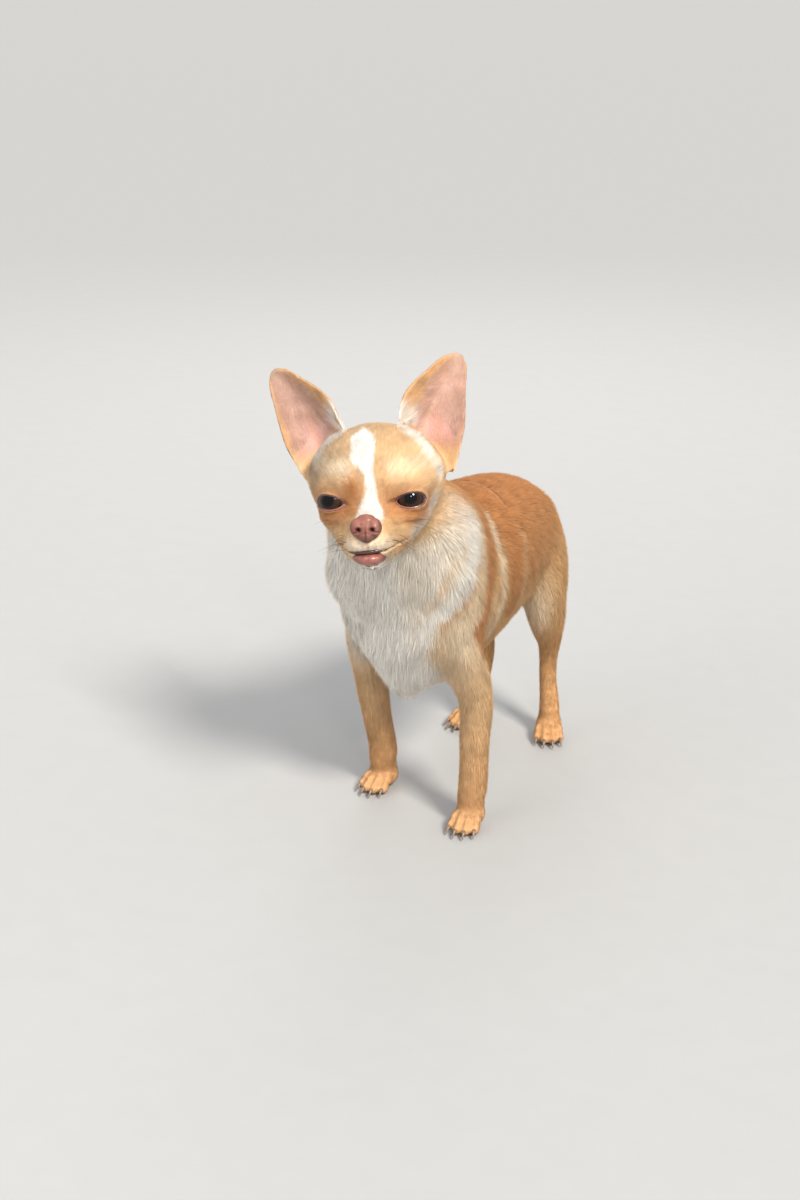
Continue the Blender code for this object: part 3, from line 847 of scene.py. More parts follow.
class Coat:
    """How the coat lies, and how long and deep it is, at any place."""

    def __init__(self) -> None:
        """Lists the flows on both sides."""
        both = [(flow, 1) for flow in FLOWS] + [(flow, -1) for flow in FLOWS if flow.centre[0] > 0.005]
        self.centres = np.array([(f.centre[0] * s, *f.centre[1:]) for f, s in both]) + np.array(SHIFT)
        self.ways = unit(np.array([(f.way[0] * s, *f.way[1:]) for f, s in both]))
        self.reaches = np.array([f.reach for f, _ in both])
        self.lengths = np.array([f.length for f, _ in both])
        self.depths = np.array([f.depth for f, _ in both])

    @staticmethod
    def headness(points: Array) -> Array:
        """1 on the head, 0 on the body, with a soft change along the throat and nape.

        Args:
            points: Places in the scene.

        Returns:
            One number a place.
        """
        q = to_head(points)
        floor = -0.052 + 0.034 * smooth_step(q[:, 1], -0.030, 0.020)
        near = 1 - smooth_step(np.linalg.norm(q, axis=1), 0.056, 0.092)
        soft = 0.007 + 0.009 * smooth_step(q[:, 1], -0.005, 0.025)
        return smooth_step(q[:, 2], floor - soft, floor + soft) * near

    @staticmethod
    def earness(points: Array) -> tuple[Array, Array, Array]:
        """Where the ears are.

        Args:
            points: Places in the scene.

        Returns:
            How much each point is of an ear, its share along it, and the ear's own coordinates.
        """
        best, share, local = np.zeros(len(points)), np.zeros(len(points)), np.zeros((len(points), 3))
        for side in (1, -1):
            p = moved(ear_frame(side).inverted(), points)
            q = to_head(points)
            out = p[:, 2] / EAR_LENGTHS[side]
            mine = smooth_step(out, 0.05, 0.28) * (q[:, 0] * side > 0)
            reach = np.linalg.norm(q, axis=1)
            mine = mine * smooth_step(reach, 0.0350, 0.0400) * (reach < 0.1150)
            swap = mine > best
            best, share = np.where(swap, mine, best), np.where(swap, out, share)
            local = np.where(swap[:, None], p * np.array((side, 1, 1)), local)
        return best, share, local

    @staticmethod
    def walls(points: Array) -> Array:
        """1 on the ears' thin walls down to their roots, 0 elsewhere.

        Args:
            points: Places in the scene.

        Returns:
            One number a place.
        """
        q = to_head(points)
        out = np.zeros(len(points))
        for side in (1, -1):
            up = moved(ear_frame(side).inverted(), points)[:, 2] / EAR_LENGTHS[side]
            out = np.maximum(out, smooth_step(up, -0.14, -0.04) * (q[:, 0] * side > 0))
        reach = np.linalg.norm(q, axis=1)
        return out * smooth_step(reach, 0.0350, 0.0380) * (reach < 0.1150)

    def at(self, points: Array) -> tuple[Array, Array, Array]:
        """Reads the coat.

        Args:
            points: Places on or near the skin.

        Returns:
            The way the hair lies, its length, and how far the coat stands off the skin.
        """
        gaps = np.linalg.norm(points[:, None, :] - self.centres[None], axis=2) / self.reaches
        weights = np.exp(-(gaps**2)) + 1e-6 / (0.05 + gaps**4)
        weights /= weights.sum(1, keepdims=True)
        ways, lengths, depths = unit(weights @ self.ways), weights @ self.lengths, weights @ self.depths
        for name in PAWS:
            p = moved(paw_frame(name).inverted(), points)
            on = smooth_step(-p[:, 2], -0.020, -0.009) * (np.linalg.norm(p[:, :2], axis=1) < 0.030)
            ahead = np.array(paw_frame(name).to_3x3() @ Vector((0, -0.92, -0.40)))
            ways = unit(between(ways, ahead, on))
            lengths, depths = between(lengths, PAW_HAIR, on), between(depths, PAW_DEPTH, on)
        head = self.headness(points)
        flow, long, deep = self.on_head(to_head(points))
        ways = unit(between(ways, flow, head))
        lengths, depths = between(lengths, long, head), between(depths, deep, head)
        ear, share, local = self.earness(points)
        sweep = 0.75 * smooth_step(-local[:, 0], -0.002, 0.010) - 0.15
        up = ear_axis(points, (0, 0, 1)) + ear_axis(points, (1, 0, 0)) * sweep[:, None]
        ways = unit(between(ways, up, ear))
        lengths = between(lengths, 0.0052 - 0.0026 * np.clip(share, 0, 1), ear)
        fringe = ear * smooth_step(-local[:, 0], 0.005, 0.012) * (1 - smooth_step(share, 0.25, 0.60))
        reach = np.linalg.norm(to_head(points), axis=1)
        crease = np.exp(-(((reach - 0.0370) / 0.0030) ** 2)) * (share > 0)
        lengths = lengths + 0.0035 * fringe + 0.0022 * crease * (1 - ear)
        return ways, lengths, between(depths, EAR_DEPTH, np.maximum(ear, self.walls(points)))

    @staticmethod
    def on_head(q: Array) -> tuple[Array, Array, Array]:
        """The way, length and depth of the head's coat, which parts from the muzzle's front.

        Args:
            q: Places in the head's frame.

        Returns:
            The way the hair lies, its length, and how far the coat stands off the skin.
        """
        pair = paired(q)
        away = np.linalg.norm(q - MUZZLE_FRONT, axis=1)
        nape = np.array((0, 0, -1.3))[None] * smooth_step(q[:, 1], -0.004, 0.030)[:, None]
        flow = unit(q - MUZZLE_FRONT) + nape
        flow[:, 2] -= 0.75 * bell(q, (0, -0.010, -0.030), (0.060, 0.030, 0.016))
        border = HEAD_STROKES[0].mask(pair)
        jaw = bell(pair, (0.028, -0.010, -0.036), (0.014, 0.018, 0.012))
        long = 0.0020 + 0.0042 * smooth_step(away, 0.008, 0.085) + 0.0055 * border + 0.0050 * jaw
        long = long + 0.0055 * bell(pair, (0.036, 0.004, -0.022), (0.010, 0.016, 0.014))
        rims = np.minimum(LIDS[1].margin(q), LIDS[-1].margin(q))
        long = long * (0.35 + 0.65 * smooth_step(rims, 2.0, 16.0))
        long = long * (1 - 0.70 * bell(pair, (0, -0.050, -0.036), (0.016, 0.020, 0.0042)))
        deep = 0.0005 + 0.0011 * smooth_step(away, 0.010, 0.080) + 0.0009 * border + 0.0012 * jaw
        return unit(flow) @ np.array(HEAD_TURN.to_3x3()).T, long, deep


@dataclass(frozen=True)
class Stroke:
    """A streak of one colour along a few places."""

    tint: Point
    width: float
    strength: float
    places: tuple[Point, ...]

    def mask(self, points: Array) -> Array:
        """How strongly the streak shows at each point.

        Args:
            points: Places in the streak's own frame, with x taken as positive for a streak on both sides.

        Returns:
            One number a point.
        """
        nearest = np.full(len(points), np.inf)
        for start, end in zip(np.array(self.places), np.array(self.places[1:])):
            run = end - start
            share = np.clip((points - start) @ run / (run @ run), 0, 1)
            nearest = np.minimum(nearest, np.linalg.norm(points - start - share[:, None] * run, axis=1))
        return self.strength * (1 - smooth_step(nearest, self.width * 0.45, self.width * 1.35))


@dataclass(frozen=True)
class Spot:
    """A soft patch of one colour round a centre. A paired one is repeated on the other side."""

    tint: Point
    strength: float
    centre: Point
    radii: Point
    paired: bool = True


# Streaks of the neck and shoulder on the dog's left, in the source's frame
NECK_STROKES = (
    Stroke(WHITE, 0.0085, 0.90, ((0.024, -0.073, 0.214), (0.033, -0.068, 0.204), (0.034, -0.072, 0.195))),
    Stroke(TAN, 0.0030, 0.55, ((0.030, -0.088, 0.194), (0.030, -0.092, 0.178), (0.022, -0.096, 0.160),
                               (0.014, -0.096, 0.144))),
    Stroke(WHITE, 0.0070, 0.90, ((0.037, -0.075, 0.190), (0.036, -0.080, 0.178), (0.033, -0.087, 0.168),
                                 (0.025, -0.094, 0.155), (0.018, -0.094, 0.142))),
    Stroke(TAN, 0.0030, 0.75, ((0.039, -0.074, 0.176), (0.036, -0.082, 0.163), (0.029, -0.090, 0.148))),
)
# Painted light and shade of the ribs: dark and pale streaks behind the shoulder and along the flank, on both
# sides
RIB_LIGHT_AND_SHADE_STROKES = (
    Stroke(RUST, 0.0070, 0.90, ((0.026, -0.050, 0.201), (0.034, -0.056, 0.188), (0.040, -0.057, 0.170),
                                (0.041, -0.062, 0.152), (0.040, -0.066, 0.138), (0.038, -0.060, 0.122))),
    Stroke(PALE, 0.0052, 0.65, ((0.030, -0.037, 0.196), (0.034, -0.043, 0.186), (0.038, -0.040, 0.172),
                                (0.042, -0.037, 0.158), (0.040, -0.036, 0.142), (0.035, -0.042, 0.124))),
    Stroke(RUST, 0.0090, 0.75, ((0.033, -0.022, 0.184), (0.041, -0.022, 0.161), (0.038, -0.016, 0.132))),
    Stroke(CREAM, 0.0040, 0.30, ((0.038, -0.006, 0.174), (0.042, -0.005, 0.150), (0.036, 0.000, 0.126))),
)
# Pale hair in front of the ears and over the brows, in the head's frame
HEAD_STROKES = (
    Stroke(WHITE, 0.0058, 0.80, ((0.0150, 0.0030, 0.0310), (0.0215, -0.0110, 0.0240),
                                 (0.0290, -0.0140, 0.0145))),
    Stroke(PALE, 0.0050, 0.35, ((0.0290, -0.0190, 0.0100), (0.0210, -0.0270, 0.0075),
                                (0.0130, -0.0320, 0.0070))),
)
# Pale hair below the left ear and on the left cheek, which the dog's right side lacks
CHEEK_STROKES = (
    Stroke(WHITE, 0.0060, 0.60, ((0.0290, -0.0140, 0.0145), (0.0345, -0.0110, 0.0030))),
    Stroke(WHITE, 0.0070, 0.70, ((0.0320, -0.0150, -0.0140), (0.0285, -0.0215, -0.0220),
                                 (0.0245, -0.0255, -0.0290))),
)

# Patches of the skull, in the head's frame: crown, forehead, and the ashy right temple
SKULL_SPOTS = (
    Spot(TAN, 0.80, (0.0, 0.012, 0.036), (0.022, 0.018, 0.014), False),
    Spot(TAN, 0.30, (0.010, -0.022, 0.018), (0.010, 0.016, 0.014), False),
    Spot(ASH, 0.90, (-0.0310, -0.0150, 0.0080), (0.0095, 0.016, 0.0130), False),
    Spot(ASH, 0.35, (-0.0240, -0.0230, 0.0160), (0.0080, 0.012, 0.0100), False),
)
BROW_SPOT = Spot(PALE, 0.6, (-0.0130, -0.0330, 0.0085), (0.0070, 0.010, 0.0050), False)
INNER_EYE: tuple[Point, Point] = ((0.0085, -0.0340, -0.0040), (0.0055, 0.012, 0.0085))
# Patches round the eyes, on the muzzle and at the mouth's corners
FACE_SPOTS = (
    Spot(RUST, 0.70, (0.0120, -0.0340, -0.0150), (0.0080, 0.014, 0.0055)),
    Spot(RUST, 0.90, (0.0210, -0.0300, -0.0105), (0.0130, 0.014, 0.0080)),
    Spot(RUST, 0.75, (0.0215, -0.0300, -0.0190), (0.0120, 0.014, 0.0050)),
    Spot(DEEP_RUST, 0.85, (0.0210, -0.0300, -0.0105), (0.0120, 0.016, 0.0074)),
    Spot(TAN, 0.70, (0.0120, -0.0470, -0.0255), (0.0090, 0.014, 0.0080)),
    Spot(PALE, 0.75, (0.0100, -0.0530, -0.0310), (0.0085, 0.010, 0.0045)),
    Spot(RUST, 0.45, (0.0190, -0.0330, -0.0320), (0.0060, 0.010, 0.0040)),
)
UPPER_LIP_SPOT = Spot(WHITE, 0.75, (0.0030, -0.0580, -0.0330), (0.0045, 0.008, 0.0024))

# Patches of the body, in the source's frame
WITHERS_SPOT = Spot(DEEP_RUST, 0.35, (0.0, -0.030, 0.206), (0.030, 0.030, 0.016), False)
HAUNCH_SPOTS = (
    Spot(PALE, 0.65, (0.030, 0.045, 0.105), (0.016, 0.014, 0.024)),
    Spot(RUST, 0.35, (0.040, 0.075, 0.060), (0.014, 0.020, 0.022)),
)
SHOULDER_SPOTS = (
    Spot(PALE, 0.70, (0.040, -0.078, 0.140), (0.016, 0.016, 0.026)),
    Spot(TAN, 0.50, (0.044, -0.050, 0.075), (0.008, 0.016, 0.050)),
)
CHEST_SPOTS = (
    Spot(WHITE, 1.0, (-0.006, -0.088, 0.106), (0.020, 0.018, 0.018), False),
    Spot(WHITE, 0.9, (0.012, -0.088, 0.110), (0.012, 0.014, 0.010), False),
    Spot(WHITE, 0.7, (-0.036, -0.078, 0.180), (0.020, 0.024, 0.034), False),
)
BELLY_SPOT = Spot(PALE, 0.6, (0.0, 0.010, 0.086), (0.022, 0.050, 0.012), False)


def lay(out: Array, mask: Array, tint: Point, strength: float = 1.0) -> None:
    """Lays a colour over the colours that are there.

    Args:
        out: One colour a place, which is changed.
        mask: How much of the new colour each place takes.
        tint: The new colour.
        strength: A factor on the mask.
    """
    amount = np.clip(mask * strength, 0, 1)[:, None]
    out[:] = out * (1 - amount) + np.array(tint) * amount


def lay_spots(out: Array, points: Array, *spots: Spot) -> None:
    """Lays patches of colour, one after the other.

    Args:
        out: One colour a place, which is changed.
        points: The places.
        spots: The patches.
    """
    pair = paired(points)
    for spot in spots:
        lay(out, bell(pair if spot.paired else points, spot.centre, spot.radii), spot.tint, spot.strength)


def lay_strokes(out: Array, points: Array, strokes: Iterable[Stroke]) -> None:
    """Lays streaks of colour, one after the other.

    Args:
        out: One colour a place, which is changed.
        points: The places.
        strokes: The streaks.
    """
    for stroke in strokes:
        lay(out, stroke.mask(points), stroke.tint)


def blaze(q: Array) -> Array:
    """The white blaze, wide on the forehead, narrow between the eyes and wide again above the nose.

    Args:
        q: Places in the head's frame.

    Returns:
        One number a place.
    """
    x, y, z = q.T
    half = 0.0021 + 0.0042 * smooth_step(z, 0.003, 0.014) + 0.0046 * smooth_step(-z, 0.0065, 0.0165)
    half = half * (1 - smooth_step(z, 0.022, 0.0300)) + 0.0004
    middle = 0.0012 - 0.0052 * smooth_step(z, 0.001, 0.014) - 0.0012 * smooth_step(-z, 0.000, 0.012)
    off = np.abs(x - middle + ripple(q, 0.009, 5) * 0.0009)
    inside = 1 - smooth_step(off, half - 0.0009, half + 0.0011)
    return inside * (y < 0) * smooth_step(z, -0.0230, -0.0170) * (1 - smooth_step(z, 0.0270, 0.0320))


def head_colours(q: Array) -> Array:
    """The head's markings at places in the head's frame.

    Args:
        q: The places.

    Returns:
        One linear colour a place.
    """
    x, y, z = q.T
    out = np.tile(np.array(CREAM), (len(q), 1))
    lay(out, np.ones(len(q)), TAN, 0.36)
    lay(out, smooth_step(y, -0.010, 0.020), TAN, 0.55)
    lay(out, smooth_step(y, 0.014, 0.046), RUST, 0.75)
    lay_spots(out, q, *SKULL_SPOTS)
    lay_strokes(out, paired(q), HEAD_STROKES)
    lay_strokes(out, q, CHEEK_STROKES)
    lay_spots(out, q, BROW_SPOT)
    inner = bell(paired(q), *INNER_EYE)
    lay(out, inner * smooth_step(-x, -0.004, 0.002), RUST, 1.0)
    lay(out, inner * smooth_step(x, -0.002, 0.004), RUST, 0.50)
    lay_spots(out, q, *FACE_SPOTS)
    lay(out, smooth_step(-z, 0.037, 0.044), WHITE, 0.9)
    lay(out, blaze(q), WHITE)
    lay_spots(out, q, UPPER_LIP_SPOT)
    return out


def wavered(p: Array) -> Array:
    """Places shifted a little to and fro, so that the markings' edges waver.

    Args:
        p: Places in the source's frame.

    Returns:
        The shifted places.
    """
    broad = [ripple(p, 0.014, 11 + axis) * 0.0020 for axis in range(3)]
    fine = [ripple(p, 0.0050, 21 + axis) * 0.0009 for axis in range(3)]
    return p + np.stack(broad, 1) + np.stack(fine, 1)


def body_colours(p: Array) -> Array:
    """The body's markings, with the ribs' painted light and shade, at places in the source's frame.

    Args:
        p: The places.

    Returns:
        One linear colour a place.
    """
    p = wavered(p)
    x, y, z = p.T
    out = np.tile(np.array(TAN), (len(p), 1))
    drift = ripple(p, 0.030, 1) * 0.006
    fine = smooth_step(ripple(p * np.array((1, 1.3, 0.9)), 0.008, 2), 0.0, 0.9)
    lay(out, smooth_step(z + drift, 0.120, 0.165) * smooth_step(y, -0.050, -0.010), RUST, 0.70)
    lay(out, smooth_step(z + drift, 0.160, 0.195) * smooth_step(y, -0.070, -0.030), RUST, 0.90)
    lay(out, fine * smooth_step(y, -0.060, -0.020) * smooth_step(z, 0.140, 0.180), DEEP_RUST, 0.22)
    lay_spots(out, p, WITHERS_SPOT)
    lay(out, smooth_step(y, 0.045, 0.075) * (1 - smooth_step(z, 0.140, 0.190)), TAN, 0.85)
    lay_spots(out, p, *HAUNCH_SPOTS)
    lay(out, smooth_step(-y, 0.030, 0.060) * (1 - smooth_step(z + drift, 0.140, 0.190)), CREAM, 0.62)
    lay_spots(out, p, *SHOULDER_SPOTS)
    lay(out, 1 - smooth_step(z, 0.012, 0.110), ORANGE, 0.80)
    neck = smooth_step(-y, 0.052, 0.072) * smooth_step(z, 0.150, 0.180) * smooth_step(np.abs(x), 0.010, 0.024)
    lay(out, neck, PALE, 0.75)
    # Painted light and shade of the ribs
    lay_strokes(out, paired(p), RIB_LIGHT_AND_SHADE_STROKES)
    edge = 0.018 + 0.014 * smooth_step(z, 0.130, 0.190)
    bib = 1 - smooth_step(x + drift * 0.5, edge - 0.004, edge + 0.008)
    bib = bib * smooth_step(x + drift * 0.5, -0.046, -0.038)
    lay(out, smooth_step(-y, 0.066, 0.084) * bib * smooth_step(z, 0.092, 0.110), WHITE)
    left = smooth_step(x, 0.002, 0.014) * smooth_step(z, 0.120, 0.150)
    lay(out, smooth_step(-y, 0.070, 0.088) * left, PALE, 0.45)
    lay_spots(out, p, *CHEST_SPOTS)
    lay_strokes(out, p, NECK_STROKES)
    lay_spots(out, p, BELLY_SPOT)
    lay(out, smooth_step(y, 0.100, 0.112) * smooth_step(z, 0.100, 0.130), RUST, 0.45)
    return out


def ear_facing(points: Array, normals: Array) -> Array:
    """How far each place on an ear faces the cup's own front, from -1 to 1."""
    return (normals * ear_axis(points, (0, -1, 0))).sum(1)


def markings_and_painted_shade(points: Array, normals: Array) -> Array:
    """The coat's colours at places on the skin, with painted shade and light of the ribs and of the ears'
    fold.

    Args:
        points: The places.
        normals: The skin's normals there.

    Returns:
        One linear colour a place.
    """
    head = Coat.headness(points)[:, None]
    out = body_colours(points - np.array(SHIFT)) * (1 - head) + head_colours(to_head(points)) * head
    ear, share, local = Coat.earness(points)
    across = local[:, 0]
    lay(out, ear, ORANGE, 0.92)
    cup = ear * smooth_step(ear_facing(points, normals), 0.05, 0.45)
    half = 0.0205 * (1 - np.clip(share, 0, 0.98) ** 1.9) ** 0.75
    low = 1 - smooth_step(share, 0.40, 0.65)
    rim = smooth_step(across / half, 0.80, 0.98)
    rim = rim + smooth_step(-across / half, 0.82 - 0.22 * low, 1.00 - 0.08 * low)
    inside = cup * (1 - np.clip(rim, 0, 1))
    lay(out, inside, DUSKY_PINK, 0.92)
    flat = np.stack([across, 0.06 * share, 0 * share], 1)
    lay(out, cup * bell(flat, (0.0030, 0.0125, 0), (0.0100, 0.0130, 1)), BRIGHT_PINK, 0.95)
    lay(out, cup * bell(flat, (0.0015, 0.0420, 0), (0.0070, 0.0120, 1)), PINK, 0.50)
    # Painted shade along the fold in the ear's cup
    lay(out, cup * bell(flat, (-0.0040, 0.0240, 0), (0.0050, 0.0040, 1)), DEEP_RUST, 0.40)
    lines = ripple(np.stack([across, 0.012 * share, 0 * share], 1), 0.0026, 91)
    lay(out, inside * smooth_step(lines, 0.1, 0.9), RUST, 0.30)
    lay(out, inside * smooth_step(-lines, 0.1, 0.9), PALE, 0.30)
    lay(out, cup * smooth_step(-across, 0.006, 0.012) * (1 - smooth_step(share, 0.20, 0.42)), WHITE, 0.95)
    return out


@dataclass(frozen=True)
class Skin:
    """One closed skin over the whole dog, inside the solids by the coat's depth."""

    coat: Coat
    nodes: tuple[str, ...] = (
        "head", "jaw", "neck", "torso", "foreleg_left", "foreleg_right", "hindleg_left", "hindleg_right",
        "tail", "ear_left", "ear_right",
    )
    filled: tuple[str, ...] = ("eye_left", "eye_right")
    growth: float = 0.00035
    voxel: float = 0.00095
    faces: int = 186000

    def build(self) -> bpy.types.Object:
        """Builds the skin's mesh."""
        obj = shaped("skin", self.gather)
        modify(obj, "REMESH", mode="VOXEL", voxel_size=self.voxel)
        settle(obj)
        self.soften(obj)
        self.sink(obj)
        self.carve(obj)
        self.thin(obj)
        obj.data.shade_smooth()
        points, normals = points_of(obj.data), normals_of(obj.data)
        paint(obj.data, "markings_and_painted_shade", self.tinted(points, normals))
        return obj

    def gather(self, bm: bmesh.types.BMesh) -> None:
        """Adds the grown solids and finer paws.

        Args:
            bm: What they are added to.
        """
        for name in self.nodes + self.filled:
            part = bmesh.new()
            part.from_mesh(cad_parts[name].data)
            bmesh.ops.remove_doubles(part, verts=part.verts, dist=1e-6)
            part.normal_update()
            for vert in part.verts:
                vert.co += vert.normal * self.growth
            pour(part, bm)
        for name in PAWS:
            paw = bmesh.new()
            self.add_paw(paw, name)
            pour(paw, bm)

    @staticmethod
    def add_paw(bm: bmesh.types.BMesh, name: str) -> None:
        """Adds a paw: ankle, body and four toes with a knuckle each.

        Args:
            bm: What it is added to.
            name: The paw's node.
        """
        place = paw_frame(name)
        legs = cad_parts[name.replace("paw", "leg")].data
        points = points_of(legs)
        ring = points[points[:, 2] < points[:, 2].min() + 0.0015]
        top = place.inverted() @ Vector(ring.mean(0))
        half = (ring.max(0) - ring.min(0)) / 2
        for share in np.linspace(0, 1, 6):
            centre = top.lerp(Vector((0, 0.0045, 0.0085)), share)
            radius = float(half[:2].min()) * (1 - share) + 0.0088 * share
            add_ball(bm, place @ Matrix.Translation(centre), (radius, radius * 1.05, 0.0050))
        add_ball(bm, place @ Matrix.Translation((0, 0.0035, 0.0080)), (0.0099, 0.0113, 0.0088))
        for x, reach, turn in TOES:
            splay = Matrix.Rotation(math.radians(-turn), 4, "Z")
            tip = Matrix.Translation((x, -0.0085 - reach, 0.0046)) @ splay
            knuckle = Matrix.Translation((x * 0.92, -0.0035 - reach, 0.0078)) @ splay
            add_ball(bm, place @ tip, (0.0034, 0.0056, 0.0046))
            add_ball(bm, place @ knuckle, (0.0032, 0.0062, 0.0044))

    def soften(self, obj: bpy.types.Object) -> None:
        """Smooths the solids' facets away, least on ears and paws.

        Args:
            obj: The skin, which is changed.
        """
        points = points_of(obj.data)
        head, (ear, _, _) = self.coat.headness(points), self.coat.earness(points)
        weights = 1 - 0.55 * head
        low = smooth_step(points[:, 2], 0.015, 0.095)
        weights *= 0.30 + 0.70 * low
        weights *= 1 - 0.55 * smooth_step(points[:, 1] - SHIFT.y, 0.100, 0.110)
        weights = np.where(ear > 0.3, np.minimum(weights, 0.16), weights)
        weights = np.where(points[:, 2] < 0.020, 0.10, weights)
        weigh(obj, "soft", weights)
        modify(obj, "SMOOTH", factor=0.6, iterations=46, vertex_group="soft")
        settle(obj)
        obj.vertex_groups.clear()

    def sink(self, obj: bpy.types.Object) -> None:
        """Draws the skin in by the coat's depth.

        Args:
            obj: The skin, which is changed.
        """
        points, normals = points_of(obj.data), normals_of(obj.data)
        _, _, depth = self.coat.at(points)
        points -= normals * (depth + self.growth)[:, None]
        points[:, 2] = np.maximum(points[:, 2], 0.0002)
        set_points(obj.data, points)

    def carve(self, obj: bpy.types.Object) -> None:
        """Carves the face: stop, brows, pouches, lips, mouth and eye openings.

        Args:
            obj: The skin, which is changed.
        """
        points, normals = points_of(obj.data), normals_of(obj.data)
        q = to_head(points)
        turn = np.array(HEAD_TURN.to_3x3())
        n = normals @ turn
        push = face_relief(q)
        q = q + n * push[:, None]
        for side in (1, -1):
            q = open_lids(q, side)
        near = (np.linalg.norm(q, axis=1) < 0.085)[:, None]
        points = np.where(near, moved(HEAD, q), points)
        for side in (1, -1):
            points = widen_ear(points, side)
        set_points(obj.data, points)

    def thin(self, obj: bpy.types.Object) -> None:
        """Brings the skin down to its faces, keeping the head fine.

        Args:
            obj: The skin, which is changed.
        """
        points = points_of(obj.data)
        body = 1 - self.coat.headness(points) * 0.93
        weigh(obj, "thin", body)
        ratio = self.faces / (2 * len(obj.data.polygons))
        modify(obj, "DECIMATE", ratio=min(1.0, ratio), vertex_group="thin", vertex_group_factor=4.0)
        settle(obj)
        obj.vertex_groups.clear()

    @staticmethod
    def tinted(points: Array, normals: Array) -> Array:
        """The markings, with bare rims, pads, and the mouth's dark line: the lips' edge with painted shade of
        their gap.

        Args:
            points: The skin's points.
            normals: The normals there.

        Returns:
            One linear colour a point.
        """
        sole = smooth_step(-normals[:, 2], 0.6, 0.9) * (points[:, 2] < 0.004)
        colours = between(markings_and_painted_shade(points, normals), np.array(PAD), sole)
        # The mouth's line: painted shade of the gap between the lips, over their dark edge
        return between(colours, np.array(LIP_LINE_AND_SHADE), mouth_mask(to_head(points)))


MOUTH_FRONT = -0.0360  # height of the mouth line under the nose
MOUTH_CORNER = -0.0306  # height at its corners
MOUTH_HALF = 0.0240  # how far the corners are from the middle
MOUTH_TILT = 0.06  # how much the line rises towards the dog's left


def mouth_height(x: Array) -> Array:
    """Height of the mouth line in the head's frame, sideways from the middle."""
    share = np.clip(np.abs(x) / MOUTH_HALF, 0, 1)
    return MOUTH_FRONT + (MOUTH_CORNER - MOUTH_FRONT) * share**2.2 + MOUTH_TILT * x


def mouth_mask(q: Array) -> Array:
    """How much each place is of the dark line between the lips, their edge with painted shade of the gap.

    Args:
        q: Places in the head's frame.

    Returns:
        One number a place.
    """
    gap = np.abs(q[:, 2] - mouth_height(q[:, 0]))
    wide = 0.0010 - 0.0006 * smooth_step(np.abs(q[:, 0]), 0.006, 0.016)
    ends = 1 - smooth_step(np.abs(q[:, 0]), MOUTH_HALF - 0.003, MOUTH_HALF)
    return (1 - smooth_step(gap, wide * 0.6, wide * 1.4)) * ends * (q[:, 1] < -0.018)


def widen_ear(points: Array, side: int) -> Array:
    """Makes an ear a little broader towards its blunt tip.

    Args:
        points: Places in the scene.
        side: 1 for the left ear, -1 for the right.

    Returns:
        The places, those of the ear moved.
    """
    local = moved(ear_frame(side).inverted(), points)
    ear, share, _ = Coat.earness(points)
    mine = ear * (to_head(points)[:, 0] * side > 0)
    wider = 0.06 * smooth_step(share, 0.15, 0.40) + 0.30 * smooth_step(share, 0.70, 1.0)
    local[:, 0] *= 1 + wider * mine
    return np.where((mine > 0.01)[:, None], moved(ear_frame(side), local), points)


@dataclass(frozen=True)
class Mound:
    """A soft swelling of the face on both sides, or a hollow where its height is below 0."""

    height: float
    centre: Point
    radii: Point


FACE_MOUNDS = (
    Mound(0.0016, (0.0175, -0.0350, 0.0020), (0.0085, 0.010, 0.0040)),  # brow
    Mound(-0.0008, (0.0000, -0.0360, -0.0010), (0.0040, 0.012, 0.0100)),  # furrow between the eyes
    Mound(-0.0004, (0.0120, -0.0360, 0.0000), (0.0040, 0.010, 0.0060)),  # inner corner of the brow
    Mound(0.0010, (0.0205, -0.0320, -0.0190), (0.0090, 0.012, 0.0022)),  # pouch below the eye
    Mound(-0.0009, (0.0205, -0.0320, -0.0225), (0.0090, 0.012, 0.0014)),  # crease below the pouch
    Mound(0.0014, (0.0095, -0.0520, -0.0310), (0.0065, 0.010, 0.0050)),  # upper lip
    Mound(-0.0007, (0.0000, -0.0560, -0.0325), (0.0012, 0.010, 0.0060)),  # split of the upper lip
    Mound(0.0010, (0.0000, -0.0480, -0.0440), (0.0090, 0.010, 0.0030)),  # chin
)
MOUTH_GROOVE = 0.0011  # depth of the mouth's line


def face_relief(q: Array) -> Array:
    """How far the face stands out, or in where below zero, along its normals.

    Args:
        q: Places in the head's frame.

    Returns:
        One number a place.
    """
    pair = paired(q)
    push = -MOUTH_GROOVE * mouth_mask(q)
    for mound in FACE_MOUNDS:
        push += mound.height * bell(pair, mound.centre, mound.radii)
    return push


def turned_flat(a: Array, b: Array, angle: float) -> tuple[Array, Array]:
    """Flat coordinates turned by an angle."""
    return a * math.cos(angle) - b * math.sin(angle), a * math.sin(angle) + b * math.cos(angle)


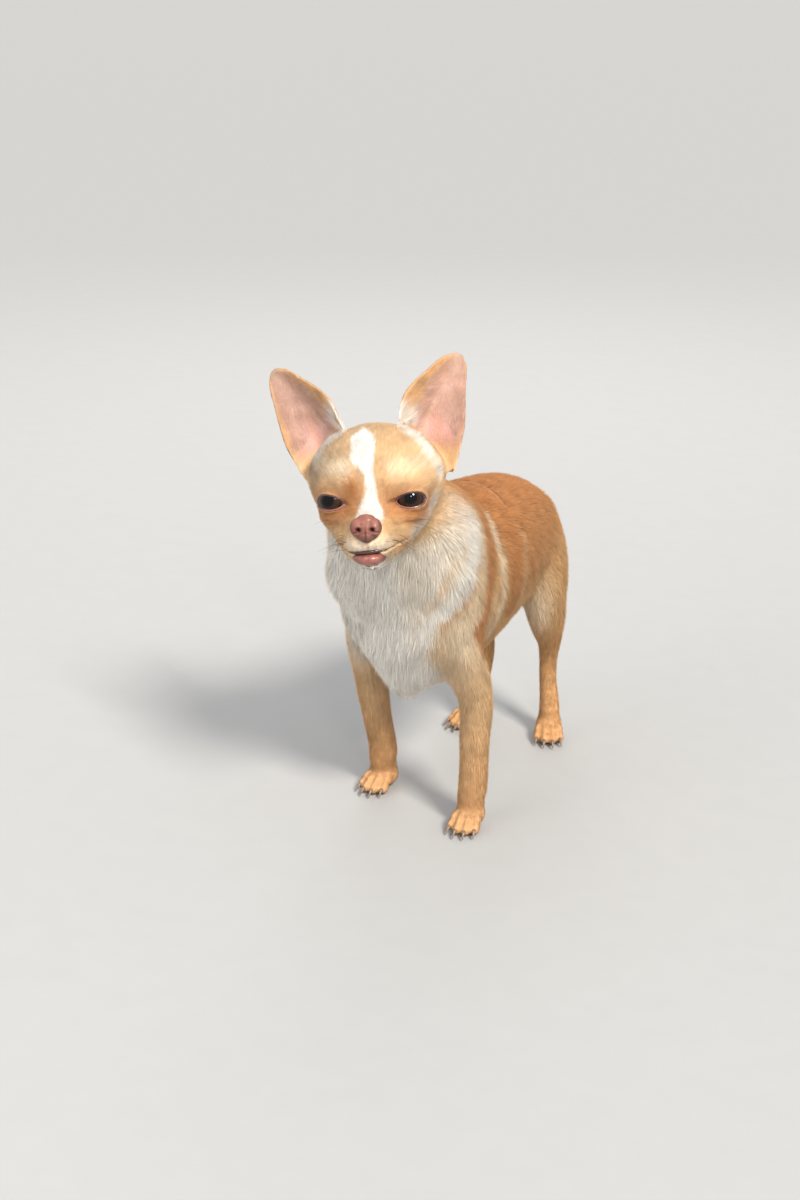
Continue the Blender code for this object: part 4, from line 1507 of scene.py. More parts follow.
@dataclass(frozen=True)
class Lids:
    """The opening of an eye, in turns sideways and up from the eye's own forward line."""

    side: int
    turn: float
    outer: float = math.radians(54)
    inner: float = math.radians(63)
    upper: float = math.radians(25)
    lower: float = math.radians(23.5)
    tilt: float = math.radians(3)
    lift: float = math.radians(-2)

    def frame(self) -> Array:
        """The turn of the opening in the head's frame."""
        return np.array(Matrix.Rotation(self.turn * self.side, 3, "Z"))

    def height(self, across: Array, above: Array, margin: Array | float) -> Array:
        """Height of the opening's edge.

        Args:
            across: Share across the opening, from -1 at the nose to 1 outside.
            above: Whether the edge above is meant.
            margin: How far the opening is widened on every side.

        Returns:
            One turn up or down for each share.
        """
        flat = np.clip(1 - across**2, 0, 1)
        skew = np.where(above, 1 + 0.10 * across, 1 - 0.06 * across)
        size = np.where(above, self.upper, self.lower) * flat ** np.where(across < 0, 0.72, 0.56) * skew
        return np.maximum(size + margin * np.sqrt(flat), 0.0)

    def directions(self, margin: float, count: int) -> Array:
        """Unit directions round the opening, in the head's frame.

        Args:
            margin: How far the opening is widened on every side.
            count: How many directions.

        Returns:
            One direction a row.
        """
        angle = np.linspace(0, 2 * math.pi, count, endpoint=False)
        across = np.cos(angle)
        b = np.sign(np.sin(angle)) * self.height(across, np.sin(angle) > 0, margin)
        a = (np.where(across > 0, self.outer, self.inner) + margin) * across
        a, b = turned_flat(a, b, self.tilt)
        b = b + self.lift
        rows = np.stack([np.sin(a) * np.cos(b), -np.cos(a) * np.cos(b), np.sin(b)], 1)
        rows[:, 0] *= self.side
        return rows @ self.frame().T

    def margin(self, q: Array) -> Array:
        """How far places in the head's frame lie outside the opening's edge, in degrees, below 0 inside.

        Args:
            q: Places in the head's frame.

        Returns:
            One number a place.
        """
        out = np.full(len(q), 90.0)
        away = q - eye_centre(self.side)
        near = np.nonzero((np.linalg.norm(away, axis=1) < EYE_RADIUS * 2.2) & (away[:, 1] < 0.006))[0]
        local = unit(away[near]) @ self.frame()
        a = np.arctan2(local[:, 0] * self.side, -local[:, 1])
        b = np.arcsin(np.clip(local[:, 2], -1, 1)) - self.lift
        a, b = turned_flat(a, b, -self.tilt)
        half = np.where(a > 0, self.outer, self.inner)
        low, high = np.full(len(a), -0.42), np.full(len(a), 1.6)
        for _ in range(16):
            middle = (low + high) / 2
            share = a / np.maximum(half + middle, 0.02)
            beyond = (np.abs(share) > 1) | (np.abs(b) > self.height(np.clip(share, -1, 1), b > 0, middle))
            low, high = np.where(beyond, middle, low), np.where(beyond, high, middle)
        out[near] = np.degrees(high)
        return out


def eye_centre(side: int) -> Array:
    """The middle of an eye in the head's frame."""
    return np.array((EYE_CENTRE.x * side, EYE_CENTRE.y, EYE_CENTRE.z))


LIDS = {1: Lids(1, math.radians(16)), -1: Lids(-1, math.radians(22))}


def open_lids(q: Array, side: int) -> Array:
    """Sinks the skin inside an eye's opening behind the eyeball.

    Args:
        q: Places in the head's frame.
        side: 1 for the left eye, -1 for the right.

    Returns:
        The places, those round the eye moved.
    """
    away = q - eye_centre(side)
    reach = np.linalg.norm(away, axis=1)
    margin = LIDS[side].margin(q)
    hole = 1 - smooth_step(margin, 0.5, 5.0)
    sunk = eye_centre(side) + unit(away) * (EYE_RADIUS - 0.0022)
    lifted = np.maximum(reach, EYE_RADIUS + 0.0006)[:, None] * unit(away) + eye_centre(side)
    q = np.where(((margin < 40) & (reach < EYE_RADIUS + 0.008))[:, None], lifted, q)
    return q * (1 - hole[:, None]) + sunk * hole[:, None]


@dataclass(frozen=True)
class Eye:
    """An eyeball with its cornea, and the two lids round it.

    The side is 1 for the dog's left and -1 for its right. Each row of the lids has its turn outwards from the
    opening's edge, in degrees, and its height over the eyeball, and each foot its sinking below the skin.
    """

    side: int
    gaze: float
    gaze_up: float = math.radians(7)
    iris: float = math.radians(47)
    count: int = 72
    rows: tuple[tuple[float, float], ...] = (
        (-4.0, -0.0006), (-1.6, 0.0002), (0.0, 0.0005), (1.6, 0.0007), (3.6, 0.0006),
    )
    feet: tuple[tuple[float, float], ...] = ((6.0, -0.0003), (9.5, -0.0010), (14.0, -0.0020))

    @property
    def word(self) -> str:
        """The side's name."""
        return "left" if self.side > 0 else "right"

    @property
    def centre(self) -> Vector:
        """The middle of the eye in the scene."""
        return HEAD @ Vector(eye_centre(self.side))

    def ball(self) -> bpy.types.Object:
        """Builds the eyeball, its cornea standing a little proud.

        Returns:
            The eyeball.
        """
        turn, up = self.gaze * self.side, self.gaze_up
        gaze = Vector((math.sin(turn) * math.cos(up), -math.cos(turn) * math.cos(up), math.sin(up)))
        ahead = (HEAD.to_3x3() @ gaze).to_track_quat("Z", "Y").to_matrix().to_4x4()
        matrix = Matrix.Translation(self.centre) @ ahead
        obj = shaped("eye_ball_" + self.word, lambda bm: add_ball(bm, matrix, (EYE_RADIUS,) * 3, 96))
        local = moved(matrix.inverted(), points_of(obj.data))
        angle = np.arctan2(np.linalg.norm(local[:, :2], axis=1), local[:, 2])
        proud = 1 + 0.035 * (1 - smooth_step(angle, 0.15, self.iris * 1.15))
        set_points(obj.data, moved(matrix, local * proud[:, None]))
        paint(obj.data, "out", angle / self.iris)
        around = np.arctan2(local[:, 1], local[:, 0])
        paint(obj.data, "spoke", 0.5 + 0.5 * np.sin(around * 23 + np.sin(around * 7)))
        return obj

    def lids(self, skin: BVHTree) -> bpy.types.Object:
        """Builds the lids as one ring that rolls from inside the opening out under the skin.

        Args:
            skin: The carved skin, on which the ring ends.

        Returns:
            The ring.
        """
        middle = eye_centre(self.side)
        rows = []
        for margin, height in self.rows:
            ways = LIDS[self.side].directions(math.radians(margin), self.count)
            rows.append(middle + ways * (EYE_RADIUS + height))
        for margin, sunk in self.feet:
            ways = LIDS[self.side].directions(math.radians(margin), self.count)
            far = np.array([self.surface(skin, way) for way in ways])
            rows.append(middle + ways * np.maximum(far + sunk, EYE_RADIUS + 0.0002)[:, None])

        def build(bm: bmesh.types.BMesh) -> None:
            """Adds one ring of verts a row and bridges them."""
            rings = []
            for row in rows:
                verts = bmesh.ops.create_circle(bm, cap_ends=False, segments=self.count, radius=1.0)["verts"]
                for vert, place in zip(verts, moved(HEAD, row)):
                    vert.co = place
                rings.append(edges_of(verts))
            join_rings(bm, rings, capped=False)

        obj = shaped("lids_" + self.word, build)
        modify(obj, "SUBSURF", levels=1, render_levels=1)
        settle(obj)
        obj.data.shade_smooth()
        self.face_out(obj)
        paint(obj.data, "markings_and_painted_shade", self.lid_colours(points_of(obj.data), normals_of(obj.data)))
        return obj

    def lid_colours(self, points: Array, normals: Array) -> Array:
        """The lids' colours: dark edges above, the rim's own dark with painted shade, pink ones below and
        towards the nose, the coat's outside.

        Args:
            points: The lids' points.
            normals: The normals there.

        Returns:
            One linear colour a point.
        """
        q = to_head(points)
        margin = LIDS[self.side].margin(q)
        local = unit(q - eye_centre(self.side)) @ LIDS[self.side].frame()
        # Dark rims above and outside, their own dark with painted shade; pink ones below and towards the nose
        pink = smooth_step(-local[:, 2] - local[:, 0] * self.side * 0.45, 0.05, 0.40)
        edge = between(np.array([LID_RIM_AND_SHADE]), np.array(LID_PINK) * 0.70, pink)
        colours = between(markings_and_painted_shade(points, normals), edge, 1 - smooth_step(margin, 3.0, 7.0))
        wet = (1 - smooth_step(margin, -2.5, 0.0)) * (0.25 + 0.75 * pink)
        return between(colours, np.array(LID_PINK), wet)

    def surface(self, skin: BVHTree, way: Array) -> float:
        """How far the skin is from the eye's middle along a way in the head's frame.

        Args:
            skin: The carved skin.
            way: The way, at length one.

        Returns:
            The distance.
        """
        out = HEAD.to_3x3() @ Vector(way)
        hit = skin.ray_cast(self.centre + out * (EYE_RADIUS + 0.0002), out, 0.012)
        return (hit[0] - self.centre).length if hit[0] else EYE_RADIUS + 0.001

    def face_out(self, obj: bpy.types.Object) -> None:
        """Turns the ring's faces away from the eye.

        Args:
            obj: The ring, which is changed.
        """
        points, normals = points_of(obj.data), normals_of(obj.data)
        if ((points - np.array(self.centre)) * normals).sum() < 0:
            obj.data.flip_normals()


@dataclass(frozen=True)
class Nose:
    """The nose leather with its nostrils."""

    parts: tuple[tuple[Point, Point], ...] = (
        ((0.0, -0.0535, -0.0222), (0.0078, 0.0058, 0.0066)),
        ((0.0046, -0.0548, -0.0218), (0.0043, 0.0046, 0.0052)),
        ((-0.0046, -0.0548, -0.0218), (0.0043, 0.0046, 0.0052)),
        ((0.0, -0.0550, -0.0262), (0.0042, 0.0042, 0.0040)),
        ((0.0, -0.0530, -0.0180), (0.0056, 0.0050, 0.0034)),
    )
    voxel: float = 0.00035
    nostril: Point = (0.0039, -0.0590, -0.0228)

    def build(self) -> bpy.types.Object:
        """Builds the nose."""
        obj = shaped("nose_leather", self.gather)
        modify(obj, "REMESH", mode="VOXEL", voxel_size=self.voxel)
        modify(obj, "SMOOTH", factor=0.5, iterations=10)
        settle(obj)
        q = to_head(points_of(obj.data))
        pair = paired(q)
        hole = bell(pair, self.nostril, (0.0012, 0.0060, 0.0012))
        slit = bell(pair, (0.0060, -0.0575, -0.0243), (0.0020, 0.0060, 0.0005))
        groove = bell(pair, (0.0, -0.0590, -0.0262), (0.0005, 0.0060, 0.0050))
        rim = bell(pair, (0.0040, -0.0590, -0.0214), (0.0020, 0.0060, 0.0009))
        q[:, 1] += 0.0032 * hole + 0.0010 * slit + 0.0008 * groove - 0.0004 * rim
        set_points(obj.data, moved(HEAD, q))
        obj.data.shade_smooth()
        # How much near-black painted shade the nostrils, their slits and the groove below take
        paint(obj.data, "hollow_shade", np.clip(hole * 1.25 + slit * 0.55 + groove * 0.45, 0, 1))
        # Painted shade towards the nose's lower and outer edges
        edge = smooth_step(-q[:, 2], 0.0235, 0.0290) + smooth_step(np.abs(q[:, 0]), 0.0060, 0.0090)
        paint(obj.data, "edge", np.clip(edge, 0, 1))
        return obj

    def gather(self, bm: bmesh.types.BMesh) -> None:
        """Adds the rounded parts that the nose is melted from."""
        for centre, radii in self.parts:
            add_ball(bm, HEAD @ Matrix.Translation(centre), radii, 48)


@dataclass(frozen=True)
class Mouth:
    """The wet lower lip, and the dark line above it where the lips meet: their dark edge with painted shade of
    the gap.
    """

    place: Point = (0.0002, -0.0500, -0.0400)
    radii: Point = (0.0096, 0.0046, 0.0034)
    curve: float = 34.0
    smile: float = 9.0
    middle: Point = (0.270, 0.084, 0.062)
    ends: Point = (0.110, 0.036, 0.026)
    line_half: float = 0.0110
    line_front: float = -0.0529
    line_rise: float = 0.0003
    line_radius: float = 0.00095
    # The roll's colour: painted shade of the gap between the lips, over their dark edge
    line_shade_tint: Point = (0.045, 0.014, 0.010)

    def lip(self) -> bpy.types.Object:
        """Builds the lower lip: a full, curved roll with a shallow crease.

        Returns:
            The lip.
        """
        matrix = HEAD @ Matrix.Translation(self.place)
        obj = shaped("lip", lambda bm: add_ball(bm, matrix, self.radii, 64))
        local = moved(matrix.inverted(), points_of(obj.data))
        local[:, 1] += self.curve * local[:, 0] ** 2
        local[:, 2] += self.smile * local[:, 0] ** 2
        local[:, 1] += 0.0006 * bell(local, (0, -0.0046, 0.0004), (0.0012, 0.004, 0.0030))
        set_points(obj.data, moved(matrix, local))
        q = to_head(points_of(obj.data))
        tone = 0.86 + 0.24 * ripple(q, 0.0035, 61)[:, None]
        dark = smooth_step(np.abs(q[:, 0]), 0.0060, 0.0092)
        paint(obj.data, "markings_and_painted_shade", between(np.array([self.middle]), np.array(self.ends), dark) * tone)
        return obj

    def line(self) -> bpy.types.Object:
        """Builds the dark roll between the lips, painted shade of their gap over their dark edge, thinner
        towards its ends.

        Returns:
            The roll.
        """
        across = np.linspace(-self.line_half, self.line_half, 25)
        fronts = self.line_front + self.curve * across**2
        rows = np.stack([across, fronts, mouth_height(across) + self.line_rise], 1)
        places = [HEAD @ Vector(row) for row in rows.tolist()]
        radii = self.line_radius * (1 - (across / self.line_half) ** 2) ** 0.5 + 0.0001
        obj = shaped("mouth_line", lambda bm: add_tube(bm, places, radii.tolist(), 12))
        paint(obj.data, "markings_and_painted_shade", np.tile(np.array(self.line_shade_tint), (len(obj.data.vertices), 1)))
        return obj


@dataclass(frozen=True)
class Claws:
    """Four curved claws on each paw."""

    length: float = 0.0044
    radius: float = 0.00105
    drop: float = 0.0040
    steps: int = 7

    def build(self) -> bpy.types.Object:
        """Builds all the claws as one piece."""
        return shaped("claws", self.add_all)

    def add_all(self, bm: bmesh.types.BMesh) -> None:
        """Adds each toe's claw."""
        for name in PAWS:
            for x, reach, turn in TOES:
                place = paw_frame(name) @ Matrix.Translation((x * 1.05, -0.0128 - reach, 0.0047))
                place = place @ Matrix.Rotation(math.radians(-turn), 4, "Z")
                shares = np.linspace(0, 1, self.steps)
                places = [place @ Vector((0, -self.length * s, 0.0004 - self.drop * s**1.8)) for s in shares]
                radii = [self.radius * (1 - s) ** 0.6 + 0.00010 for s in shares]
                add_tube(bm, places, radii, 10)


@dataclass(frozen=True)
class Whiskers:
    """Short dark whiskers on the muzzle and cheeks: place, way, count, length and spread of each group."""

    radii: tuple[float, ...] = (0.00009, 0.00009, 0.00008, 0.00006, 0.00004, 0.00002)
    sides: int = 5
    sunk: float = 0.08
    sag: float = 0.0028
    spots: tuple[tuple[Point, Point, int, float, float], ...] = (
        ((0.0145, -0.0480, -0.0300), (0.85, -0.10, -0.20), 6, 0.0150, 0.0070),
        ((0.0170, -0.0430, -0.0320), (0.90, 0.15, -0.25), 5, 0.0150, 0.0070),
        ((0.0250, -0.0290, -0.0240), (0.90, 0.10, 0.00), 3, 0.0090, 0.0030),
    )

    def build(self, skin: BVHTree) -> bpy.types.Object:
        """Builds the whiskers.

        Args:
            skin: What they are rooted on.

        Returns:
            All the whiskers as one piece.
        """
        obj = shaped("whiskers", lambda bm: self.add_all(bm, skin))
        steps = np.repeat(np.linspace(0, 1, len(self.radii)), self.sides)
        paint(obj.data, "along", np.tile(steps, len(obj.data.vertices) // len(steps)))
        return obj

    def add_all(self, bm: bmesh.types.BMesh, skin: BVHTree) -> None:
        """Adds each whisker as a thin bent tube.

        Args:
            bm: What they are added to.
            skin: What they are rooted on.
        """
        rng = np.random.default_rng(8)
        steps = np.linspace(-self.sunk, 1, len(self.radii))
        for centre, way, count, length, spread in self.spots:
            for side in (1, -1) * count:
                mirror = Vector((side, 1, 1))
                at = (Vector(centre) + Vector(rng.normal(size=3) * spread * 0.45)) * mirror
                aim = (Vector(way) + Vector(rng.normal(size=3) * 0.18)) * mirror
                root = skin.find_nearest(HEAD @ at)[0]
                ahead = (HEAD.to_3x3() @ aim).normalized() * length * rng.uniform(0.6, 1.1)
                places = [root + ahead * s - Vector((0, 0, self.sag)) * s**2 for s in steps]
                add_tube(bm, places, list(self.radii), self.sides)


class Region(Enum):
    """The pieces of the coat, with their names."""

    FACE = "coat_face"
    SKULL = "coat_skull"
    EARS = "coat_ears"
    CHEST = "coat_chest"
    NECK = "coat_neck"
    BACK = "coat_back"
    FLANKS = "coat_flanks"
    FORELEGS = "coat_forelegs"
    HINDLEGS = "coat_hindlegs"
    TAIL = "coat_tail"


@dataclass(frozen=True)
class Cut:
    """How a region's tufts are made: how many, how wide, and how loosely they lie."""

    tufts: int
    width: float
    slot: str
    wild: float = 0.13
    loose: float = 0.0


CUTS = {
    Region.FACE: Cut(48000, 0.00030, "fur_tan", 0.11),
    Region.SKULL: Cut(49000, 0.00036, "fur_tan", 0.11),
    Region.EARS: Cut(46000, 0.00027, "ear_skin", 0.16),
    Region.CHEST: Cut(42000, 0.00048, "fur_white", 0.15, 0.40),
    Region.NECK: Cut(40000, 0.00048, "fur_white", 0.14, 0.20),
    Region.BACK: Cut(34000, 0.00048, "fur_rust"),
    Region.FLANKS: Cut(34000, 0.00048, "fur_rust"),
    Region.FORELEGS: Cut(34000, 0.00042, "fur_tan"),
    Region.HINDLEGS: Cut(35000, 0.00044, "fur_rust"),
    Region.TAIL: Cut(8000, 0.00050, "fur_rust", 0.18, 0.20),
}


@dataclass
class Fur:
    """The tufts of the coat, as closed tapered slivers that lie along the skin, and short ones on the lids."""

    coat: Coat
    covered: bpy.types.Object
    lids: list[bpy.types.Object]
    patch: float = 0.003
    coarse: float = 0.075
    skin: BVHTree = field(init=False)
    ground: bpy.types.Object = field(init=False)
    regions: Array = field(init=False)

    def __post_init__(self) -> None:
        """Prepares the skin for rooting."""
        both = bmesh.new()
        for obj in (self.covered, *self.lids):
            both.from_mesh(obj.data)
        self.skin = BVHTree.FromBMesh(both)
        both.free()
        self.ground = link("ground", self.covered.data.copy())
        modify(self.ground, "DECIMATE", ratio=self.coarse)
        settle(self.ground)
        self.regions = self.sort_faces()

    def sort_faces(self) -> Array:
        """Says for each face of the ground which region it is in.

        Returns:
            The index of a region for each face.
        """
        faces = self.ground.data.polygons
        centres = np.empty(len(faces) * 3, np.float32)
        faces.foreach_get("center", centres)
        centres = centres.reshape(-1, 3).astype(float)
        p, q = centres - np.array(SHIFT), to_head(centres)
        head, (ear, _, _) = self.coat.headness(centres), self.coat.earness(centres)
        order = list(Region)
        found = np.full(len(faces), order.index(Region.FLANKS))
        found[p[:, 2] > 0.163] = order.index(Region.BACK)
        found[(p[:, 1] < -0.045) & (p[:, 2] > 0.100)] = order.index(Region.NECK)
        found[(p[:, 1] < -0.082) & (p[:, 2] > 0.085)] = order.index(Region.CHEST)
        found[(p[:, 1] > 0.032) & (p[:, 2] < 0.140)] = order.index(Region.HINDLEGS)
        leg = (p[:, 2] < 0.083) | ((p[:, 2] < 0.100) & (np.abs(p[:, 0]) > 0.020))
        found[(p[:, 1] < -0.020) & leg] = order.index(Region.FORELEGS)
        found[p[:, 1] > 0.101] = order.index(Region.TAIL)
        found[(head > 0.5) & (q[:, 1] < -0.016)] = order.index(Region.FACE)
        found[(head > 0.5) & (q[:, 1] >= -0.016)] = order.index(Region.SKULL)
        found[ear > 0.35] = order.index(Region.EARS)
        return found

    def ground_of(self, region: Region) -> tuple[Array, Array]:
        """Unwraps a region of the ground.

        Args:
            region: The region.

        Returns:
            The corners of its triangles, and their places on the unwrap.
        """
        bm = bmesh.new()
        bm.from_mesh(self.ground.data)
        bm.faces.ensure_lookup_table()
        index = list(Region).index(region)
        others = [bm.faces[i] for i in np.nonzero(self.regions != index)[0]]
        bmesh.ops.delete(bm, geom=others, context="FACES")
        bmesh.ops.triangulate(bm, faces=bm.faces)
        mesh = bpy.data.meshes.new("unwrap")
        bm.to_mesh(mesh)
        bm.free()
        obj = link("unwrap", mesh)
        bpy.context.view_layer.objects.active = obj
        obj.select_set(True)
        mesh.uv_layers.new(name="OFBake")
        bpy.ops.object.mode_set(mode="EDIT")
        bpy.ops.mesh.select_all(action="SELECT")
        bpy.ops.uv.smart_project(angle_limit=math.radians(66), island_margin=0.006)
        bpy.ops.object.mode_set(mode="OBJECT")
        mesh = obj.data
        corners = np.empty(len(mesh.loops), np.int32)
        mesh.loops.foreach_get("vertex_index", corners)
        flat = np.empty(len(mesh.loops) * 2, np.float32)
        mesh.uv_layers["OFBake"].data.foreach_get("uv", flat)
        places = points_of(mesh)[corners].reshape(-1, 3, 3)
        bpy.data.objects.remove(obj)
        return places, flat.reshape(-1, 3, 2).astype(float)

    def nearest(self, points: Array) -> tuple[Array, Array]:
        """The skin's nearest places and their normals.

        Args:
            points: Places near the skin.

        Returns:
            The nearest places and the normals there.
        """
        places, normals = np.empty_like(points), np.empty_like(points)
        for index, point in enumerate(points.tolist()):
            place, normal, _, _ = self.skin.find_nearest(point)
            places[index], normals[index] = place, normal
        return places, normals

    def roots(self, region: Region, cut: Cut, rng: np.random.Generator) -> tuple[Array, Array, Array]:
        """Scatters roots over a region.

        Args:
            region: The region.
            cut: How its tufts are made.
            rng: The seeded source of the random draws.

        Returns:
            The roots, the skin's normals there, and their places on the unwrap.
        """
        corners, unwrap = self.ground_of(region)
        cross = np.cross(corners[:, 1] - corners[:, 0], corners[:, 2] - corners[:, 0])
        areas = np.linalg.norm(cross, axis=1) * self.density(region, corners.mean(1), unit(cross))
        picked = rng.choice(len(areas), cut.tufts, p=areas / areas.sum())
        a, b = rng.random((2, cut.tufts))
        over = a + b > 1
        a, b = np.where(over, 1 - a, a), np.where(over, 1 - b, b)
        shares = np.stack([1 - a - b, a, b], 1)[:, :, None]
        places, normals = self.nearest((corners[picked] * shares).sum(1))
        return places, normals, (unwrap[picked] * shares).sum(1)

    def density(self, region: Region, points: Array, normals: Array) -> Array:
        """How thickly tufts grow: fewer inside the ears, more on the muzzle.

        Args:
            region: The region.
            points: The middles of its triangles.
            normals: The triangles' normals.

        Returns:
            One factor a triangle.
        """
        q = to_head(points)
        thick = np.ones(len(points))
        if region is Region.EARS:
            _, share, local = self.coat.earness(points)
            edge = smooth_step(np.abs(local[:, 0]), 0.008, 0.016)
            bare = smooth_step(ear_facing(points, normals), 0.05, 0.40) * (1 - edge)
            thick *= 1 - bare * (0.70 - 0.45 * smooth_step(share, 0.25, 0.70))
        if region is Region.FACE:
            thick *= 1.6 - 0.6 * smooth_step(np.linalg.norm(q - MUZZLE_FRONT, axis=1), 0.010, 0.050)
        return thick

    def bald(self, roots: Array) -> Array:
        """Where no hair grows: the eyes, the rims of the lids, the nose and the lips.

        Args:
            roots: Places on the skin.

        Returns:
            One truth value a place.
        """
        q = to_head(roots)
        bare = np.zeros(len(roots), bool)
        for side in (1, -1):
            bare |= LIDS[side].margin(q) < 2.2
        pair = paired(q)
        bare |= bell(pair, (0.0, -0.0560, -0.0222), (0.0098, 0.0090, 0.0082)) > 0.37
        bare |= bell(pair, (0.0, -0.0530, -0.0398), (0.0094, 0.0090, 0.0023)) > 0.37
        return bare | (mouth_mask(q) > 0.3) | (roots[:, 2] < 0.0012)

    @staticmethod
    def folded(roots: Array, normals: Array) -> Array:
        """Where the skin is folded back on itself at an ear's inner root, facing into the head.

        Args:
            roots: Places on the skin.
            normals: The normals there.

        Returns:
            One truth value a place.
        """
        q, n = to_head(roots), normals @ np.array(HEAD_TURN.to_3x3())
        reach = np.linalg.norm(q, axis=1)
        inward = (q * n).sum(1) < -0.20 * reach
        return (reach > 0.0330) & (reach < 0.0500) & (Coat.walls(roots) > 0.05) & inward

    def grow(self, region: Region) -> bpy.types.Object:
        """Builds one piece of the coat.

        Args:
            region: The region.

        Returns:
            The piece.
        """
        cut = CUTS[region]
        rng = np.random.default_rng(100 + list(Region).index(region))
        roots, normals, unwrap = self.roots(region, cut, rng)
        keep = ~self.bald(roots) & ~self.folded(roots, normals)
        roots, normals, unwrap = roots[keep], normals[keep], unwrap[keep]
        ways, lengths, depths = self.coat.at(roots)
        swirl = ripple(roots, 0.011, 31) + 0.5 * ripple(roots, 0.0035, 32)
        swirl = swirl[:, None] * np.cross(normals, ways)
        ways = ways + swirl * cut.wild * 1.3 + rng.normal(size=ways.shape) * cut.wild * 0.55
        ways = unit(ways - normals * (ways * normals).sum(1, keepdims=True))
        count = len(roots)
        lengths = lengths * rng.uniform(0.65, 1.2, count)
        clump = ripple(roots, 0.0030, 71) * 0.7 + ripple(roots, 0.0016, 72) * 0.5
        lift = depths * rng.uniform(0.45, 1.05, count) * (1 + 0.22 * clump)
        tips, tip_normals = self.nearest(roots + ways * lengths[:, None])
        turned = (tip_normals * normals).sum(1) < 0.15
        lengths = np.where(turned, lengths * 0.28, lengths)
        free = roots + ways * lengths[:, None]
        tips = np.where(turned[:, None], free, tips)
        tip_normals = np.where(turned[:, None], normals, tip_normals)
        tips = tips * (1 - cut.loose) + free * cut.loose + tip_normals * (lift + 0.0001)[:, None]
        widths = cut.width * rng.uniform(0.75, 1.3, count) * (0.60 + 0.40 * lengths / lengths.mean())
        across = unit(np.cross(normals, ways)) * widths[:, None] / 2
        base = roots - normals * 0.0002
        rings = np.stack([base - across, base + across, base + normals * widths[:, None] * 0.25, tips], 1)
        rings[..., 2] = np.maximum(rings[..., 2], 0.0001)
        side = unit(across) * 0.45
        soft = np.stack([normals - side, normals + side, normals, tip_normals + ways * 0.45], 1)
        obj = self.join(region.value, rings, unit(soft), unwrap)
        colours = markings_and_painted_shade(roots, normals) * (1 + 0.05 * ripple(roots, 0.004, 44))[:, None]
        if region is Region.EARS:
            lay(colours, np.full(count, 0.12), PALE)
        paint(obj.data, "markings_and_painted_shade", np.repeat(np.clip(colours, 0, 1), 4, axis=0))
        paint(obj.data, "shade", np.repeat(rng.uniform(-0.6, 0.6, count) + clump, 4))
        # 0 at each tuft's root and 1 at its tip, which the coat's painted root shade reads
        paint(obj.data, "along", np.tile((0.0, 0.0, 0.0, 1.0), count))
        return obj

    def join(self, name: str, tufts: Array, soft: Array, unwrap: Array) -> bpy.types.Object:
        """Joins closed tufts of four points each into one mesh.

        Args:
            name: The piece's name.
            tufts: The points of each tuft: three at its root, then its tip.
            soft: The normals that the tufts are lit by, close to the skin's own.
            unwrap: Each root's place on the unwrap of the skin.

        Returns:
            The joined object.
        """
        count, size = tufts.shape[:2]
        pattern = np.array(((0, 2, 1), (0, 1, 3), (1, 2, 3), (2, 0, 3)))
        spots = np.array(((-0.5, -0.5), (0.5, -0.5), (0, -0.4), (0, 0.5))) * self.patch
        faces = (pattern[None] + (np.arange(count) * size)[:, None, None]).reshape(-1)
        mesh = bpy.data.meshes.new(name)
        mesh.vertices.add(count * size)
        mesh.loops.add(len(faces))
        mesh.polygons.add(len(faces) // 3)
        mesh.vertices.foreach_set("co", tufts.astype(np.float32).ravel())
        mesh.loops.foreach_set("vertex_index", faces.astype(np.int32))
        mesh.polygons.foreach_set("loop_start", np.arange(0, len(faces), 3, dtype=np.int32))
        mesh.update(calc_edges=True)
        mesh.validate()
        uv = (unwrap[:, None, :] + spots[None]).reshape(-1, 2)[faces]
        mesh.uv_layers.new(name="OFBake").data.foreach_set("uv", np.clip(uv, 0, 1).astype(np.float32).ravel())
        mesh.shade_smooth()
        mesh.normals_split_custom_set_from_vertices(soft.reshape(-1, 3).tolist())
        return link(name, mesh)

    def finish(self) -> None:
        """Removes the ground that the tufts were rooted on."""
        bpy.data.objects.remove(self.ground)


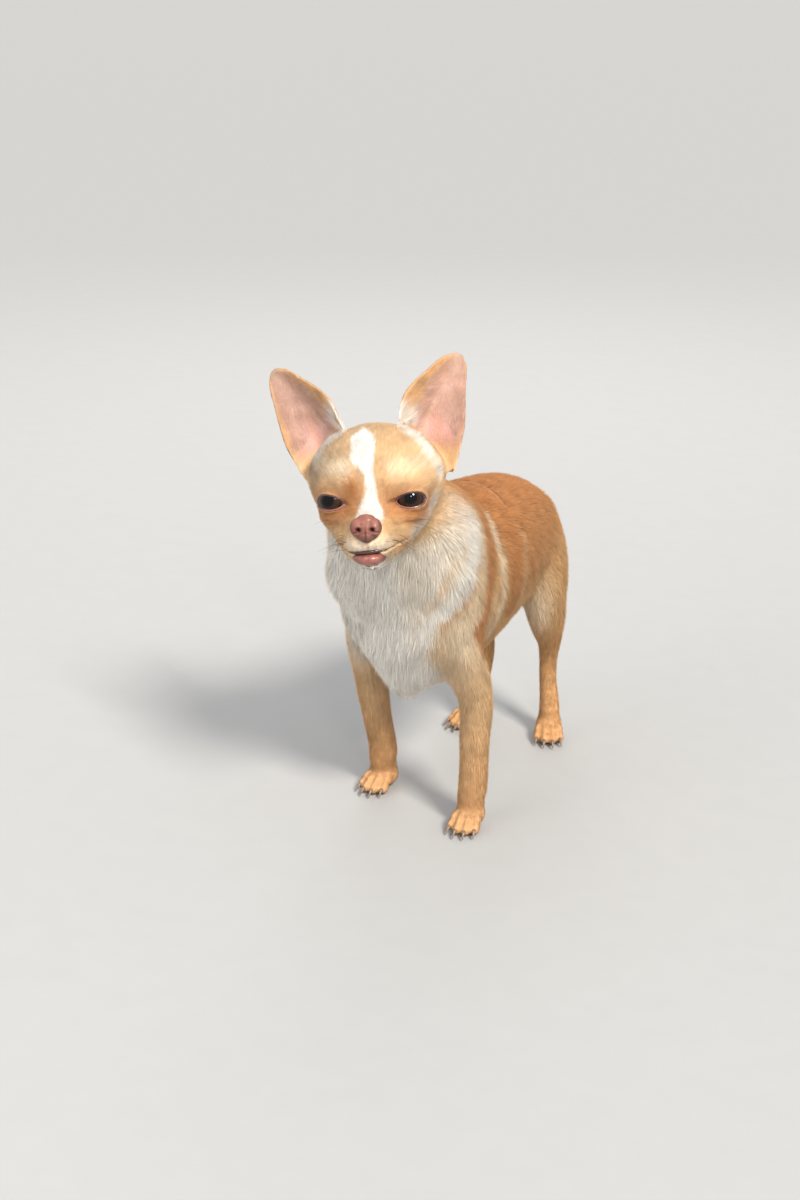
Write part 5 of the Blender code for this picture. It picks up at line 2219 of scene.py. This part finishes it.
@dataclass(frozen=True)
class Studio:
    """The camera, the lights and the floor."""

    camera: Point = (0.4748, -1.0218, 0.5400)
    azimuth: float = math.radians(27)
    down: float = math.radians(20.4)
    focal_pixels: float = 1883.0
    picture_height: float = 1200.0
    film: float = 36.0
    floor_size: float = 14.0
    lights: tuple[tuple[Point, float, float, Point], ...] = (
        ((-0.60, -1.40, 0.70), 1.20, 9.0, (0.96, 0.98, 1.0)),
        ((-0.50, 1.10, 1.10), 0.80, 6.0, (1.0, 1.0, 1.0)),
        ((0.72, -1.10, 0.98), 0.15, 3.0, (1.0, 1.0, 1.0)),
    )
    sun_from: Point = (0.68, -0.40, 0.76)
    sun_power: float = 4.3
    catch_size: float = 0.5
    sun_spread: float = math.radians(14)
    sky: float = 0.86

    def build(self, dresser: Dresser) -> None:
        """Sets up the floor, camera, lights and world.

        Args:
            dresser: What holds the floor's finish.
        """
        self.set_camera()
        self.set_lights()
        floor = shaped(
            "floor", lambda bm: bmesh.ops.create_grid(bm, x_segments=2, y_segments=2, size=self.floor_size)
        )
        floor.data.materials.append(dresser.finishes[Finish.FLOOR])

    def set_camera(self) -> None:
        """Adds the camera at the photograph's viewing angle."""
        data = bpy.data.cameras.new("camera")
        data.sensor_width = self.film
        data.lens = self.film * self.focal_pixels / self.picture_height
        camera = bpy.data.objects.new("camera", data)
        camera.location = Vector(self.camera) + SHIFT
        camera.rotation_euler = (math.pi / 2 - self.down, 0, self.azimuth)
        bpy.context.scene.collection.objects.link(camera)
        bpy.context.scene.camera = camera

    def set_lights(self) -> None:
        """Adds a wide soft sun, two wide fills, a small light that the eyes catch, and a pale world."""
        sun = bpy.data.lights.new("sun", "SUN")
        sun.energy, sun.angle, sun.color = self.sun_power, self.sun_spread, (1.0, 0.96, 0.89)
        self.hang(sun, Vector(self.sun_from) * 3, Vector())
        aim = SHIFT + Vector((0, -0.03, 0.15))
        for index, (place, size, power, tint) in enumerate(self.lights):
            data = bpy.data.lights.new(f"light_{index}", "AREA")
            data.shape, data.size, data.energy, data.color = "DISK", size, power, tint
            light = self.hang(data, Vector(place), aim)
            light.visible_glossy = size < self.catch_size
        world = bpy.data.worlds.new("studio")
        world.use_nodes = True
        world.node_tree.nodes["Background"].inputs["Color"].default_value = (0.94, 0.96, 1.0, 1)
        world.node_tree.nodes["Background"].inputs["Strength"].default_value = self.sky
        bpy.context.scene.world = world
        bpy.context.scene.view_settings.view_transform = "Standard"

    @staticmethod
    def hang(data: bpy.types.Light, place: Vector, aim: Vector) -> bpy.types.Object:
        """Puts a light at a place, turned to what it lights.

        Args:
            data: The light's data.
            place: Where it hangs.
            aim: What it lights.

        Returns:
            The light.
        """
        light = bpy.data.objects.new(data.name, data)
        light.location = place
        light.rotation_euler = (aim - place).to_track_quat("-Z", "Y").to_euler()
        bpy.context.scene.collection.objects.link(light)
        return light


def build_eyes(dresser: Dresser, skin: bpy.types.Object) -> list[bpy.types.Object]:
    """Builds the eyeballs and lids.

    Args:
        dresser: What dresses them.
        skin: The carved skin, on which the lids end.

    Returns:
        The lids.
    """
    tree = BVHTree.FromObject(skin, bpy.context.evaluated_depsgraph_get())
    lids = []
    for side, gaze in ((1, 9), (-1, 18)):
        eye = Eye(side, math.radians(gaze))
        dresser.dress(eye.ball(), Finish.EYE, "eye_glass", (f"eye_{eye.word}",))
        lids.append(eye.lids(tree))
        dresser.dress(lids[-1], Finish.LIP, "lip_skin")
    return lids


def main() -> None:
    """Builds the studio and the dog."""
    logging.basicConfig(level=logging.INFO, format="%(message)s")
    dresser, studio, coat = Dresser(), Studio(), Coat()
    studio.build(dresser)
    maker = Skin(coat)
    skin = maker.build()
    dresser.dress(skin, Finish.SKIN, "fur_tan", maker.nodes + tuple(PAWS))
    fur = Fur(coat, skin, build_eyes(dresser, skin))
    dresser.dress(Nose().build(), Finish.NOSE, "nose_leather", ("nose",))
    dresser.dress(Mouth().lip(), Finish.LIP, "lip_skin", ("lower_lip",))
    dresser.dress(Mouth().line(), Finish.LIP, "lip_skin")
    dresser.dress(Whiskers().build(fur.skin), Finish.WHISKER, "fur_tan")
    dresser.dress(Claws().build(), Finish.CLAW, "fur_paws")
    for region in Region:
        dresser.dress(fur.grow(region), Finish.COAT, CUTS[region].slot)
    fur.finish()


if __name__ == "__main__":
    main()
